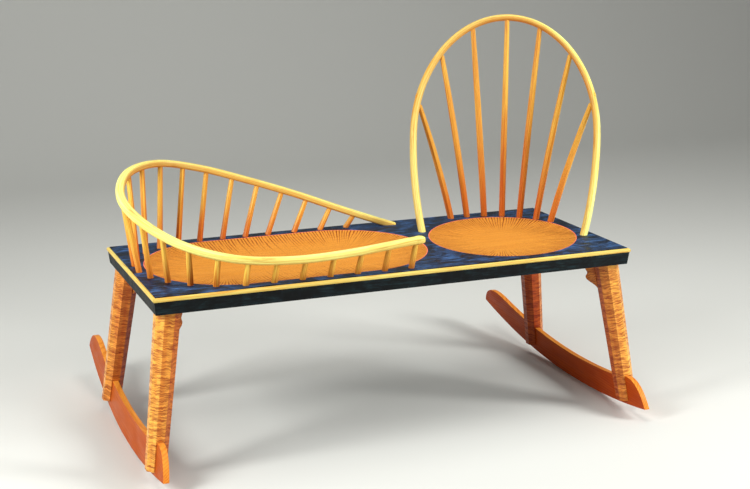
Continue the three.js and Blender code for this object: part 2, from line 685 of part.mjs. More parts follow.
// Side outline, with Y and Z of the bench as the shape's own two axes
function rockerOutline(balanceY) {
  const halfFlat = ROCKER_FLAT / 2;
  const [tailTurn, tailRise] = ROCKER_TAIL_SHARES;
  const [hornTurnBack, hornTurnFront] = ROCKER_HORN_SHARES;
  const floorCurve = (y) => {
    const radius = y > balanceY ? ROCKER_REAR_RADIUS : ROCKER_FRONT_RADIUS;
    return Math.sqrt(radius ** 2 - halfFlat ** 2) - Math.sqrt(radius ** 2 - (y - balanceY) ** 2);
  };
  const topCentreZ = ROCKER_DEPTH + ROCKER_TOP_RADIUS;
  const topCurve = (y) => topCentreZ - Math.sqrt(ROCKER_TOP_RADIUS ** 2 - y ** 2);
  const tailY = rockerRearY - ROCKER_TAIL_LENGTH;
  const tipZ = floorCurve(rockerRearY);
  const hornTopY = rockerFrontY + ROCKER_HORN_LENGTH;
  const hornStartY = hornTopY + ROCKER_HORN_BACK;
  const toeZ = floorCurve(rockerFrontY);
  const shape = new THREE.Shape();
  shape.moveTo(balanceY - halfFlat, 0);
  shape.lineTo(balanceY + halfFlat, 0);
  const rearRun = rockerRearY - balanceY - halfFlat;
  for (let i = 1; i <= ROCKER_REAR_STEPS; i++) {
    const y = balanceY + halfFlat + (rearRun * i) / ROCKER_REAR_STEPS;
    shape.lineTo(y, floorCurve(y));
  }
  shape.quadraticCurveTo(
    tailY + ROCKER_TAIL_LENGTH * tailTurn,
    tipZ + (topCurve(tailY) - tipZ) * tailRise,
    tailY,
    topCurve(tailY),
  );
  for (let i = 1; i <= ROCKER_REAR_STEPS; i++) {
    const y = tailY + ((hornStartY - tailY) * i) / ROCKER_REAR_STEPS;
    shape.lineTo(y, topCurve(y));
  }
  const hornTurnY = hornTopY + ROCKER_HORN_BACK * hornTurnBack;
  shape.quadraticCurveTo(hornTurnY, ROCKER_HORN_RISE, hornTopY, ROCKER_HORN_RISE);
  const toeTurnY = hornTopY - ROCKER_HORN_LENGTH * hornTurnFront;
  shape.quadraticCurveTo(toeTurnY, ROCKER_HORN_RISE, rockerFrontY, toeZ);
  const frontRun = balanceY - halfFlat - rockerFrontY;
  for (let i = 1; i < ROCKER_FRONT_STEPS; i++) {
    const y = rockerFrontY + (frontRun * i) / ROCKER_FRONT_STEPS;
    shape.lineTo(y, floorCurve(y));
  }
  return shape;
}

// The legs' lean along the bench, for each unit of height; the rockers lean with them
const legLean = LEG_SPLAY_X / (UNDERSIDE - LEG_FOOT_HEIGHT);

// The legs' centre lines carried down to the floor
const rockerX = legTopX + legLean * UNDERSIDE;
const rockerRearY = legFootY + ROCKER_TAIL_REACH;
const rockerFrontY = -legFootY - ROCKER_HORN_REACH;

// Board cut to the side outline, its faces leaning with the legs and its edges left level
function rocker(side, balanceY, grow = 0) {
  const thickness = ROCKER_THICKNESS + 2 * grow;
  const board = new THREE.ExtrudeGeometry(rockerOutline(balanceY), {
    depth: thickness,
    bevelEnabled: false,
    curveSegments: ROCKER_CURVE_STEPS,
  });
  board.translate(0, 0, -thickness / 2);
  board.applyMatrix4(new THREE.Matrix4().makeBasis(vector(0, 1, 0), UP, vector(1, 0, 0)));
  board.applyMatrix4(new THREE.Matrix4().makeShear(0, 0, 0, 0, -side * legLean, 0));
  return board.translate(side * rockerX, 0, 0);
}

function leg(side, row) {
  const body = legBody(side, row, 0, 0, -GAP);
  const slot = rocker(side, 0, GAP);
  return cut(join([body, legTenon(side, row, 0)]), [slot, slot.clone().translate(0, 0, GAP)]);
}

// Knee bracket, an ogee board that looks from its leg towards the middle of the bench
function bracket(side, row) {
  const { top } = legAxis(side, row);
  const shape = new THREE.Shape();
  shape.lineTo(0, -BRACKET_DROP);
  shape.lineTo(BRACKET_REACH * BRACKET_FOOT_SHARE, -BRACKET_DROP);
  for (const [turnReach, turnDrop, endReach, endDrop] of BRACKET_CURVE_SHARES) {
    shape.quadraticCurveTo(
      BRACKET_REACH * turnReach,
      -BRACKET_DROP * turnDrop,
      BRACKET_REACH * endReach,
      -BRACKET_DROP * endDrop,
    );
  }
  shape.lineTo(BRACKET_REACH, 0);
  const board = new THREE.ExtrudeGeometry(shape, {
    depth: BRACKET_THICKNESS,
    bevelEnabled: false,
    curveSegments: BRACKET_CURVE_STEPS,
  });
  const outward = vector(-side, -row, 0).normalize();
  const turn = new THREE.Matrix4().makeBasis(outward, UP, vector().crossVectors(outward, UP));
  board.translate(0, 0, -BRACKET_THICKNESS / 2).applyMatrix4(turn).translate(top.x, top.y, UNDERSIDE - GAP);
  return cut(board, [legBody(side, row, GAP, 0, OVERRUN)]);
}

// Edge strips

// Bead section: out from the plank's core, and up from the rebate's floor to just under the plank's edge
function stripSection() {
  const round = STRIP_WIDTH - STRIP_FLAT;
  const points = [[0, GAP], [STRIP_WIDTH - STRIP_UNDER_ROUND, GAP]];
  points.push([STRIP_WIDTH, GAP + STRIP_UNDER_ROUND]);
  for (let i = 0; i <= STRIP_ROUND_STEPS; i++) {
    const angle = ((i / STRIP_ROUND_STEPS) * Math.PI) / 2;
    points.push([STRIP_FLAT + round * Math.cos(angle), STRIP_HEIGHT - round * (1 - Math.sin(angle))]);
  }
  points.push([0, STRIP_HEIGHT]);
  return points;
}

// The plank's core stands inside the strips
const coreHalfX = PLANK_HALF_LENGTH - STRIP_WIDTH;
const coreHalfY = PLANK_HALF_DEPTH - STRIP_WIDTH;
const rebateZ = SEAT_HEIGHT - STRIP_DROP - STRIP_HEIGHT;

// A strip along X or Y, mitred at both ends; sign picks the edge
function edgeStrip(alongX, sign) {
  const section = stripSection();
  const [halfRun, halfAcross] = alongX ? [coreHalfX, coreHalfY] : [coreHalfY, coreHalfX];
  const ring = (end) =>
    section.map(([out, up]) => {
      const run = end * (halfRun + out - GAP);
      const across = sign * (halfAcross + out);
      return alongX ? vector(run, across, rebateZ + up) : vector(across, run, rebateZ + up);
    });
  return loft([ring(-1), ring(1)]);
}

// Plank, with a rebate for the strips, two bowls and a socket for each piece that stands in it
function plank() {
  const shoulderX = PLANK_HALF_LENGTH - STRIP_PROUD;
  const shoulderY = PLANK_HALF_DEPTH - STRIP_PROUD;
  const body = loft([
    rectangleRing(shoulderX - PLANK_UNDERCUT, shoulderY - PLANK_UNDERCUT, UNDERSIDE),
    rectangleRing(shoulderX, shoulderY, rebateZ),
    rectangleRing(coreHalfX - GAP, coreHalfY - GAP, rebateZ),
    rectangleRing(coreHalfX - GAP, coreHalfY - GAP, SEAT_HEIGHT),
  ]);
  const sockets = [
    ...cradleAxes.map((axis) => spindle(axis, cradleWidths, GAP)),
    ...backAxes.map((axis) => spindle(axis, backWidths, GAP)),
    ...legPlaces.map(({ side, row }) => legTenon(side, row, GAP)),
    hoopTube(GAP),
    railDowel(GAP),
  ];
  return cut(body, [seatBowl(), cradleBowl(), ...sockets]);
}

const legPlaces = [
  { side: -1, row: -1, place: "front_cradle_end" },
  { side: -1, row: 1, place: "rear_cradle_end" },
  { side: 1, row: -1, place: "front_seat_end" },
  { side: 1, row: 1, place: "rear_seat_end" },
];
const sides = [
  { side: -1, end: "cradle_end" },
  { side: 1, end: "seat_end" },
];

// Finishes

const bluePaint = () => new THREE.MeshStandardMaterial({ color: 0x1b2438, roughness: 0.42, metalness: 0 });
const paleWood = () => new THREE.MeshStandardMaterial({ color: 0xe6b458, roughness: 0.5, metalness: 0 });
const goldenWood = () => new THREE.MeshStandardMaterial({ color: 0xcf8236, roughness: 0.5, metalness: 0 });
const curlyWood = () => new THREE.MeshStandardMaterial({ color: 0xb4662c, roughness: 0.45, metalness: 0 });

// Assembly

const bench = new THREE.Group();
const standing = new THREE.Group();
bench.add(standing);

function addPiece(name, geometry, material) {
  material.flatShading = true;
  const mesh = new THREE.Mesh(geometry, material);
  mesh.name = name;
  standing.add(mesh);
}

addPiece("seat_plank", plank(), bluePaint());
addPiece("edge_strip_front", edgeStrip(true, -1), paleWood());
addPiece("edge_strip_rear", edgeStrip(true, 1), paleWood());
addPiece("edge_strip_cradle_end", edgeStrip(false, -1), paleWood());
addPiece("edge_strip_seat_end", edgeStrip(false, 1), paleWood());

const backSockets = backAxes.map((axis) => spindle(axis, backWidths, GAP));
const wedgeSlots = sides.map(({ side }) => hoopWedge(side, GAP));
addPiece("back_hoop", cut(hoopTube(), [belowPlank, ...backSockets, ...wedgeSlots]), paleWood());
sides.forEach(({ side }) => {
  const name = side < 0 ? "hoop_wedge_left" : "hoop_wedge_right";
  addPiece(name, cut(hoopWedge(side), [belowPlank]), goldenWood());
});
backAxes.forEach((axis, i) => {
  addPiece("back_spindle_" + (i + 1), backSpindle(axis, i), goldenWood());
});

const cradleSockets = cradleAxes.map((axis) => spindle(axis, cradleWidths, GAP));
addPiece("cradle_rail", cut(cradleRail(), [plankBlock, railDowel(GAP), ...cradleSockets]), paleWood());
addPiece("cradle_rail_dowel", railDowel(), goldenWood());
cradleAxes.forEach((axis, i) => {
  const name = "cradle_spindle_" + String(i + 1).padStart(2, "0");
  addPiece(name, spindle(axis, cradleWidths), goldenWood());
});

legPlaces.forEach(({ side, row, place }) => {
  addPiece("leg_" + place, leg(side, row), curlyWood());
  addPiece("knee_bracket_" + place, bracket(side, row), curlyWood());
});

// The level stretch of the rockers goes under the bench's own balance point
function balancePoint() {
  let volume = 0;
  let momentY = 0;
  const firstRockers = sides.map(({ side }) => rocker(side, 0));
  for (const geometry of [...standing.children.map((mesh) => mesh.geometry), ...firstRockers]) {
    const part = volumeMoments(geometry);
    volume += part.volume;
    momentY += part.momentY;
  }
  return momentY / volume;
}

const balanceY = balancePoint();
sides.forEach(({ side, end }) => {
  addPiece("rocker_" + end, rocker(side, balanceY), curlyWood());
});

// The origin goes under the middle of the overall box
const middle = new THREE.Box3().setFromObject(standing).getCenter(vector());
standing.position.set(-middle.x, -middle.y, 0);

export default bench;
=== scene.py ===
"""Rocking bench: a bow-back seat and a railed cradle side by side on one plank, over two rockers.

The packed bench is the frame. Straight pieces keep its shapes and get worked arrises. The bow, the cradle
rail and the plank with its two carved dishes are made afresh at its sizes, with finer curves.
Metres. +Z is up, +X runs along the bench to the seat end, +Y to the rear.
"""

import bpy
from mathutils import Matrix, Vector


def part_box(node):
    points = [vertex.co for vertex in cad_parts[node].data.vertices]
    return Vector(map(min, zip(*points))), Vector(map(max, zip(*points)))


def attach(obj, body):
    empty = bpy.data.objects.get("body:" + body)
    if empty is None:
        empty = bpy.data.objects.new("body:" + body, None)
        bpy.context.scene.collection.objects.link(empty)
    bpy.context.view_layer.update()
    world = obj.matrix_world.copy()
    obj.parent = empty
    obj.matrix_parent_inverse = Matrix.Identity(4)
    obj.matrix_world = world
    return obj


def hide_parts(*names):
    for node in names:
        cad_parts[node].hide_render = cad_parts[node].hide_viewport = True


bl_info = {
    "name": "Rocking Bench",
    "version": (1, 0, 0),
    "blender": (4, 5, 0),
    "location": "View3D > Sidebar > Bench",
    "description": "Dresses the packed frame of a rocking bench with its wood, paint and studio",
    "category": "Object",
}

import math

import bmesh
import bpy
import numpy as np
from mathutils import Matrix, Vector
from mathutils.geometry import tessellate_polygon

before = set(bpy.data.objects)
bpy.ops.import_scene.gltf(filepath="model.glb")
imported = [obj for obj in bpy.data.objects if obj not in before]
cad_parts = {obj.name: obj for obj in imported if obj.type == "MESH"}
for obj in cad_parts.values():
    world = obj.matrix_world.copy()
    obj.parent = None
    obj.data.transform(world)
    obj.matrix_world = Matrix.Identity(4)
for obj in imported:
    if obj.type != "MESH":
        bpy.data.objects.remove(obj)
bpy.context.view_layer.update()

BODY = "root"
WELD = 0.00002  # vertices nearer than this are one
FLAT = math.radians(0.4)  # faces that turn less than this are one
SHARP = math.radians(34)  # edges that turn more than this stay crisp
SUNK = 0.0004  # how far a made piece overruns a face that it ends in
GAP = 0.0003  # between the plank and the strips let into its edges

ENDS = ["cradle_end", "seat_end"]
EDGES = ["front", "rear", *ENDS]
PLACES = [side + "_" + end for end in ENDS for side in ("front", "rear")]
CRADLE_SPINDLES = sorted(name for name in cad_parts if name.startswith("cradle_spindle_"))
BACK_SPINDLES = sorted(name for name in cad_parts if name.startswith("back_spindle_"))

# The plank, read from the frame
PLANK_LOW, PLANK_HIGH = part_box("seat_plank")
PLANK_CENTRE = (PLANK_LOW + PLANK_HIGH) / 2
PLANK_TOP = PLANK_HIGH.z
UNDERSIDE = PLANK_LOW.z
HALF_LENGTH = (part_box("edge_strip_seat_end")[1].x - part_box("edge_strip_cradle_end")[0].x) / 2
HALF_DEPTH = (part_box("edge_strip_rear")[1].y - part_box("edge_strip_front")[0].y) / 2
CORE_HALF_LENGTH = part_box("edge_strip_seat_end")[0].x - PLANK_CENTRE.x
CORE_HALF_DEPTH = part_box("edge_strip_rear")[0].y - PLANK_CENTRE.y
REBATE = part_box("edge_strip_front")[0].z

# How finely the curves are made
PATH_STEPS = 24  # chords between two points of a path
BEND_STEPS = 260  # even lengths that the bow and the rail are each divided into
BOW_SIDES = 28
BOW_STILE_STEPS = 7
BOW_CROWN_STEPS = 13
CORNER_STEPS = 5  # to each rounded edge of the rail
KNOB_STEPS = 22
SEAT_RIM_POINTS = 160
CRADLE_RIM_POINTS = 200
DISH_RINGS = 26
ARRIS_TURNS = [math.radians(turned) for turned in (0, 30, 60, 90)]

# How the curves run
RING_DRIFT = 1.25  # above 1 the rings of a dish lie closer together at its rim
DISH_ROUND = 3  # the higher, the flatter a dish's floor and the steeper its rim
BOW_TRIM = 0.008  # how far below the plank the bow's feet run before they are trimmed
KNOB_TIP = 0.4  # part of a step left off at the knob's tip, so that it closes in a small flat

# The plank's three finishes, and which of them a face has
PLANK_FINISHES = ["blue milk paint", "carved dish", "dark milk paint"]
TOP, DISH, SIDES = range(3)
TOP_SHARE = 0.9  # a face that ends within this share of the arris has the top's paint

# Tones of the flats, partly painted light and shade
MIDDLE_TONE = 0.5
HEADING_STEP = 22.5  # degrees of turn within which the flats of a piece share a tone
HEADING_STRIDE = 7  # sets the numbers of two headings apart
SEAT_END_LIGHT = 0.7  # how strongly painted light falls on outward flats of the seat end's front and rear
REAR_PAINTED_SHADE = 1 / 3  # painted shade and light: how much darker the rear is than the middle, and lighter the front
# Painted shade on a rocker's sides, and painted light where it faces up or forward
ROCKER_PAINTED_SHADE_TONE = 0.03
ROCKER_PAINTED_LIGHT_TONE = 0.9
NAME_STEP, NAME_PRIME = 37, 997  # primes that scatter the numbers of the names
BOARD_SHIFT = (0.31, 0.57, 1.0)  # farthest that two pieces lie apart in the wood

# The stage, from the front up to the top of the backdrop
STAGE_FRONT = -7.0
STAGE_BACK = 3.2
STAGE_CURVE = 2.2
STAGE_CURVE_STEPS = 16
STAGE_HEIGHT = 7.0
STAGE_HALF_WIDTH = 9.0

# The lamps: place, width and height
LAMPS = {
    "left": ((-2.7, -0.8, 1.8), 1.0, 1.4),
    "right": ((2.5, -2.1, 1.8), 1.0, 1.4),
    "top": ((0.2, -0.2, 3.4), 2.6, 1.8),
}
LAMP_COLOUR = (1.0, 0.985, 0.96)
SKY_COLOUR = (1.0, 0.97, 0.94, 1)

# Share along the foot line, share of the rail's lean, share of its rise
RAIL_SHARES = [
    (-0.013, -0.41, -0.02),
    (0.067, 0.09, 0.212),
    (0.152, 0.525, 0.474),
    (0.236, 0.84, 0.707),
    (0.306, 1, 0.88),
    (0.37, 0.95, 1),
    (0.438, 0.9, 0.985),
    (0.508, 0.84, 0.829),
    (0.579, 0.68, 0.65),
    (0.646, 0.54, 0.456),
    (0.714, 0.44, 0.317),
    (0.798, 0.41, 0.245),
    (0.883, 0.375, 0.26),
    (0.967, 0.31, 0.317),
    (0.993, 0.245, 0.33),
]


# Settings


def length(name, description, default):
    return bpy.props.FloatProperty(
        name=name, description=description, default=default, subtype="DISTANCE", unit="LENGTH", precision=4
    )


def angle(name, description, default):
    return bpy.props.FloatProperty(
        name=name, description=description, default=math.radians(default), subtype="ANGLE", unit="ROTATION"
    )


def colour(name, description, default):
    return bpy.props.FloatVectorProperty(
        name=name, description=description, default=default, size=3, min=0, max=1, subtype="COLOR_GAMMA"
    )


def power(name, description, default):
    return bpy.props.FloatProperty(
        name=name, description=description, default=default, min=0, subtype="POWER", unit="POWER"
    )


class BenchPlankSizes(bpy.types.PropertyGroup):
    """Plank and its two carved dishes"""

    undercut: length("Undercut", "How far the plank's sides slope in at the bottom", 0.0035)
    arris: length("Arris", "Rounding of the plank's edges", 0.0012)
    seat_width: length("Seat dish width", "Across the seat", 0.398)
    seat_length: length("Seat dish length", "Front to back of the seat", 0.452)
    seat_forward: length("Seat dish forward", "From the seat's centre to the dish's centre", 0.028)
    seat_depth: length("Seat dish depth", "Below the plank's top face", 0.013)
    cradle_depth: length("Cradle dish depth", "Below the plank's top face", 0.015)
    cradle_inset: length("Cradle dish inset", "From the spindles' foot line to the rim", 0.010)
    cradle_end_inset: length("Cradle dish end inset", "The same at the round left end", 0.022)
    cradle_clearance: length(
        "Cradle dish clearance", "From the seat's centre to the round right end's centre", 0.473
    )


class BenchSeatSizes(bpy.types.PropertyGroup):
    """Place of the seat and the bow behind it"""

    end_inset: length("End inset", "From the plank's seat end to the seat's centre", 0.234)
    setback: length("Setback", "The seat's centre behind the plank's middle line", 0.007)
    turn: angle("Turn", "How far the seat faces towards the cradle", 27.4)
    bow_foot_radius: length("Bow foot radius", "Half the bow's thickness at its feet", 0.0102)
    bow_crown_radius: length("Bow crown radius", "Half the bow's thickness at its crown", 0.009)
    bow_foot_half_width: length("Foot half width", "Half the width between the bow's feet", 0.2185)
    bow_half_width: length("Half width", "Half the bow's greatest width", 0.2515)
    bow_widest_rise: length("Widest rise", "Along the lean from the plank to the widest place", 0.282)
    bow_rise: length("Rise", "Along the lean from the plank to the crown", 0.616)
    bow_lean: angle("Lean", "How far the bow leans back", 25)


class BenchCradleSizes(bpy.types.PropertyGroup):
    """Line of the cradle spindles' feet, and the rail above it"""

    front_inset: length("Front inset", "From the plank's front edge to the foot line", 0.029)
    rear_inset: length("Rear inset", "From the plank's rear edge to the foot line", 0.035)
    end_inset: length("End inset", "From the plank's cradle end to the foot line", 0.021)
    end_reach: length("End reach", "Half oval's reach to the left of its centre", 0.230)
    rear_clearance: length("Rear clearance", "From the seat's centre to the line's rear end", 0.252)
    front_clearance: length("Front clearance", "From the seat's centre to the line's front end", 0.338)
    rail_width: length("Rail width", "Across the rail", 0.022)
    rail_thickness: length("Rail thickness", "Top to bottom of the rail", 0.018)
    rail_round: length("Rail rounding", "Radius of the rail's four long edges", 0.0062)
    rail_rise: length("Rail rise", "Plank's top face to the rail at its highest", 0.216)
    rail_lean: length("Rail lean", "How far the rail stands outside its foot line", 0.032)
    knob_proud: length("Knob proud", "How far the knob at the free end stands past the rail's sides", 0.004)
    knob_end_reach: length("Knob end reach", "From the end of the rail's curve to the knob's tip", 0.009)


class BenchFinishes(bpy.types.PropertyGroup):
    """Colours of the wood and paint"""

    paint: colour("Paint", "Dark blue of the plank", (0.045, 0.075, 0.125))
    # Lighter blue: worn paint, and partly painted sheen
    paint_worn: colour("Worn paint", "Lighter brushed blue of the plank", (0.27, 0.43, 0.65))
    paint_edge: colour("Edge paint", "Slate of the plank's sides", (0.045, 0.055, 0.06))
    # Lighter slate: worn paint, and partly painted sheen
    paint_edge_worn: colour("Worn edge paint", "Lighter brushed slate of the sides", (0.13, 0.21, 0.23))
    dish: colour("Dish", "Bare wood of the carved dishes", (0.90, 0.62, 0.235))
    dish_dark: colour("Dish grain", "Darker grain of the dishes", (0.72, 0.36, 0.10))
    # Painted shade in the gouge flutes' grooves, and the gouge's strike marks
    dish_cut: colour("Gouge lines", "Dark lines between the gouge cuts of the dishes", (0.54, 0.22, 0.06))
    dish_rim: colour("Dish rim", "Fresh cut line round each dish", (0.95, 0.50, 0.40))
    pale: colour("Pale wood", "Bow, rail and edge strips", (0.95, 0.93, 0.54))
    pale_dark: colour("Pale grain", "Grain of the pale wood", (0.90, 0.66, 0.24))
    pale_mark: colour("Pale wood marks", "Brown marks on the pale wood", (0.72, 0.44, 0.16))
    golden: colour("Golden wood", "Spindles", (0.98, 0.83, 0.36))
    golden_dark: colour("Golden grain", "Grain of the spindles", (0.85, 0.53, 0.14))
    # Painted shade: darker and redder towards the spindles' feet
    golden_foot: colour("Golden foot", "Redder tone towards the spindles' feet", (0.86, 0.44, 0.22))
    curly: colour("Curly wood", "Light bands of the legs", (0.94, 0.65, 0.27))
    curly_mid: colour("Curly ground", "Ground of the legs", (0.86, 0.45, 0.14))
    curly_dark: colour("Curly bands", "Dark bands of the legs", (0.52, 0.13, 0.02))
    rocker: colour("Rocker wood", "Rockers", (0.90, 0.55, 0.20))
    rocker_dark: colour("Rocker grain", "Grain of the rockers", (0.74, 0.33, 0.08))


class BenchStudio(bpy.types.PropertyGroup):
    """Floor, lamps and camera"""

    floor: colour("Floor", "Pale floor and backdrop", (0.87, 0.88, 0.865))
    left_power: power("Left lamp", "Soft lamp at the left", 76)
    right_power: power("Right lamp", "Soft lamp at the right", 96)
    top_power: power("Top lamp", "Soft lamp overhead", 50)
    sky: bpy.props.FloatProperty(
        name="Sky", description="Strength of the even light from all sides", default=0.2, subtype="FACTOR"
    )
    lens: bpy.props.FloatProperty(
        name="Lens", description="Focal length on a 36 mm wide sensor", default=68.05, unit="CAMERA"
    )
    camera_place: bpy.props.FloatVectorProperty(
        name="Camera place",
        description="From the middle of the plank's top",
        default=(-1.3021, -3.3492, 0.8907),
        subtype="TRANSLATION",
        unit="LENGTH",
    )
    camera_yaw: angle("Camera yaw", "Turned to the right", 21.56)
    camera_pitch: angle("Camera pitch", "Looking down", 13.82)
    camera_roll: angle("Camera roll", "Tilted to the left", 0.21)


SETTINGS = {
    "bench_plank": BenchPlankSizes,
    "bench_seat": BenchSeatSizes,
    "bench_cradle": BenchCradleSizes,
    "bench_finishes": BenchFinishes,
    "bench_studio": BenchStudio,
}


# Meshes into pieces


def mark_sharp_edges(bm):
    """Shades the whole mesh smooth but for the edges that turn sharply."""
    for face in bm.faces:
        face.smooth = True
    for edge in bm.edges:
        edge.smooth = len(edge.link_faces) == 2 and edge.calc_face_angle(0) < SHARP


def name_number(name):
    """A steady number from 0 to 1 for each name."""
    mixed = sum((i + 1) * NAME_STEP * ord(letter) for i, letter in enumerate(name))
    return mixed % NAME_PRIME / NAME_PRIME


def write_grain(mesh, name, grain=None):
    """Stores each point's place in its piece's wood; the third number runs along the grain or the piece."""
    points = np.empty(len(mesh.vertices) * 3)
    mesh.vertices.foreach_get("co", points)
    points = points.reshape(-1, 3)
    if grain is None:
        centred = points - points.mean(0)
        _, _, longest_first = np.linalg.svd(centred, full_matrices=False)
        grain = centred @ longest_first[::-1].T
    placed = np.asarray(grain) + np.array(BOARD_SHIFT) * name_number(name)
    attribute = mesh.attributes.new("grain", "FLOAT_VECTOR", "POINT")
    attribute.data.foreach_set("vector", placed.astype(np.float32).ravel())


def even_tone(name, polygon):
    """The middle tone on every flat."""
    return MIDDLE_TONE


def flat_tones(spread=0.0, painted_lighting_strength=0.0):
    """Tone of each flat: its own, plus painted light and shade: lighter at the front and where it faces up or
    outwards, darker at the rear.
    """

    def tone_of(name, polygon):
        normal = polygon.normal
        heading = round(math.degrees(math.atan2(normal.y, normal.x)) / HEADING_STEP)
        own = name_number(name[::-1]) + name_number(name + str(heading * HEADING_STRIDE)) - 1
        along = (polygon.center.x - PLANK_CENTRE.x) / HALF_LENGTH
        back = (polygon.center.y - PLANK_CENTRE.y) / HALF_DEPTH
        # painted light and shade: lighter where a flat faces up or towards the lit ends, darker towards the
        # rear
        light = Vector((along, max(along, 0) * back * SEAT_END_LIGHT, 1))
        painted_lighting = normal.dot(light) - back * REAR_PAINTED_SHADE
        return min(max(MIDDLE_TONE + own * spread + painted_lighting * painted_lighting_strength, 0), 1)

    return tone_of


def rocker_painted_tones(name, polygon):
    """Tone of a rocker's face: painted shade at the sides, and painted light where it faces up or forward."""
    lit = min(max(polygon.normal.z - polygon.normal.y, 0), 1)
    return ROCKER_PAINTED_SHADE_TONE + (ROCKER_PAINTED_LIGHT_TONE - ROCKER_PAINTED_SHADE_TONE) * lit


def write_tones(mesh, name, tone_of):
    """Stores a tone on each flat."""
    attribute = mesh.attributes.new("tone", "FLOAT", "FACE")
    attribute.data.foreach_set("value", [tone_of(name, polygon) for polygon in mesh.polygons])


def write_rise(mesh):
    """Stores how high each point lies in its piece, from 0 at the foot to 1 at the top."""
    heights = [vertex.co.z for vertex in mesh.vertices]
    low, high = min(heights), max(heights)
    attribute = mesh.attributes.new("rise", "FLOAT", "POINT")
    attribute.data.foreach_set("value", [(height - low) / (high - low) for height in heights])


def piece_from(bm, name, materials, nodes, grain=None, tone_of=even_tone):
    """Makes the mesh an object on the bench that stands for the given CAD nodes."""
    mesh = bpy.data.meshes.new(name)
    bm.normal_update()
    bm.to_mesh(mesh)
    bm.free()
    for material in materials:
        mesh.materials.append(material_named(material))
    write_grain(mesh, name, grain)
    write_tones(mesh, name, tone_of)
    write_rise(mesh)
    piece = bpy.data.objects.new(name, mesh)
    bpy.context.scene.collection.objects.link(piece)
    level = piece.modifiers.new("even flats", "WEIGHTED_NORMAL")
    level.keep_sharp = True
    level.weight = 100
    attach(piece, BODY)
    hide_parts(*nodes)


def cad_mesh(node):
    """The node's shape with its points joined and its flat faces whole."""
    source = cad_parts[node].data
    bm = bmesh.new()
    points = [bm.verts.new(vertex.co) for vertex in source.vertices]
    for polygon in source.polygons:
        bm.faces.new([points[i] for i in polygon.vertices])
    bmesh.ops.remove_doubles(bm, verts=bm.verts, dist=WELD)
    bmesh.ops.dissolve_limit(bm, angle_limit=FLAT, verts=bm.verts, edges=bm.edges)
    bmesh.ops.recalc_face_normals(bm, faces=bm.faces)
    return bm


def ease_arrises(bm, width):
    """Rounds every edge that turns sharply, as a scraper and sandpaper leave it."""
    edges = [edge for edge in bm.edges if len(edge.link_faces) == 2 and edge.calc_face_angle(0) > SHARP]
    bmesh.ops.bevel(
        bm,
        geom=edges,
        offset=width,
        offset_type="OFFSET",
        segments=2,
        profile=0.5,
        affect="EDGES",
        clamp_overlap=True,
    )


def worked_pieces(node_stem, name_stem, places, material, arris=0.0, tone_of=even_tone):
    """Straight CAD pieces of one kind, kept in shape, with eased arrises and each with its own grain."""
    for place in places:
        node = node_stem + place
        bm = cad_mesh(node)
        if arris:
            ease_arrises(bm, arris)
        mark_sharp_edges(bm)
        piece_from(bm, name_stem + place, [material], [node], tone_of=tone_of)


# Curves


def smooth_path(points):
    """Smooth curve through the points, eased by the root of their spacing, as many short chords."""
    points = [Vector(point) for point in points]
    ends = [points[0] * 2 - points[1], *points, points[-1] * 2 - points[-2]]
    path = []
    for before, start, stop, after in zip(ends, ends[1:], ends[2:], ends[3:]):
        gap_before, gap, gap_after = (
            math.sqrt(max((b - a).length, WELD)) for a, b in ((before, start), (start, stop), (stop, after))
        )
        leave = (start - before) / gap_before - (stop - before) / (gap_before + gap) + (stop - start) / gap
        reach = (stop - start) / gap - (after - start) / (gap + gap_after) + (after - stop) / gap_after
        leave, reach = leave * gap, reach * gap
        for i in range(PATH_STEPS):
            t = i / PATH_STEPS
            path.append(
                start
                + leave * t
                + (stop * 3 - start * 3 - leave * 2 - reach) * t**2
                + (start * 2 - stop * 2 + leave + reach) * t**3
            )
    path.append(points[-1])
    return path


def even_stations(path, count):
    """Points at equal runs along a path, each with its direction and its run from the start."""
    runs = [0.0]
    for a, b in zip(path, path[1:]):
        runs.append(runs[-1] + (b - a).length)
    stations = []
    chord = 0
    for i in range(count + 1):
        run = runs[-1] * i / count
        while chord < len(path) - 2 and runs[chord + 1] < run:
            chord += 1
        part = (run - runs[chord]) / (runs[chord + 1] - runs[chord])
        stations.append((path[chord].lerp(path[chord + 1], part), run))
    result = []
    for i, (place, run) in enumerate(stations):
        behind = stations[max(i - 1, 0)][0]
        ahead = stations[min(i + 1, count)][0]
        result.append((place, (ahead - behind).normalized(), run))
    return result


def skin_rings(bm, rings):
    """Closed skin over rings with as many points each, capped at both ends."""
    rows = [[bm.verts.new(point) for point in ring] for ring in rings]
    count = len(rows[0])
    for row, after in zip(rows, rows[1:]):
        for i in range(count):
            j = (i + 1) % count
            bm.faces.new((row[i], row[j], after[j], after[i]))
    bm.faces.new(reversed(rows[0]))
    bm.faces.new(rows[-1])


def sweep(stations, section, side_of, scale_of):
    """Sweeps a section along stations; gives the mesh and each point's place in the bent wood."""
    rings = []
    grain = []
    for i, (place, heading, run) in enumerate(stations):
        side = side_of(heading)
        top = side.cross(heading)
        widen, thicken = scale_of(i)
        rings.append([place + side * (x * widen) + top * (y * thicken) for x, y in section])
        grain += [(x, y, run) for x, y in section]
    bm = bmesh.new()
    skin_rings(bm, rings)
    bmesh.ops.recalc_face_normals(bm, faces=bm.faces)
    return bm, grain


# Places on the plank


def seat_centre():
    sizes = bpy.context.scene.bench_seat
    return Vector((PLANK_CENTRE.x + HALF_LENGTH - sizes.end_inset, PLANK_CENTRE.y + sizes.setback, PLANK_TOP))


def seat_point(across, back, up):
    """Place by the seat: across the sitter, behind the seat's centre, above the plank."""
    turn = bpy.context.scene.bench_seat.turn
    aside = Vector((math.cos(turn), -math.sin(turn), 0))
    behind = Vector((math.sin(turn), math.cos(turn), 0))
    return seat_centre() + aside * across + behind * back + Vector((0, 0, up))


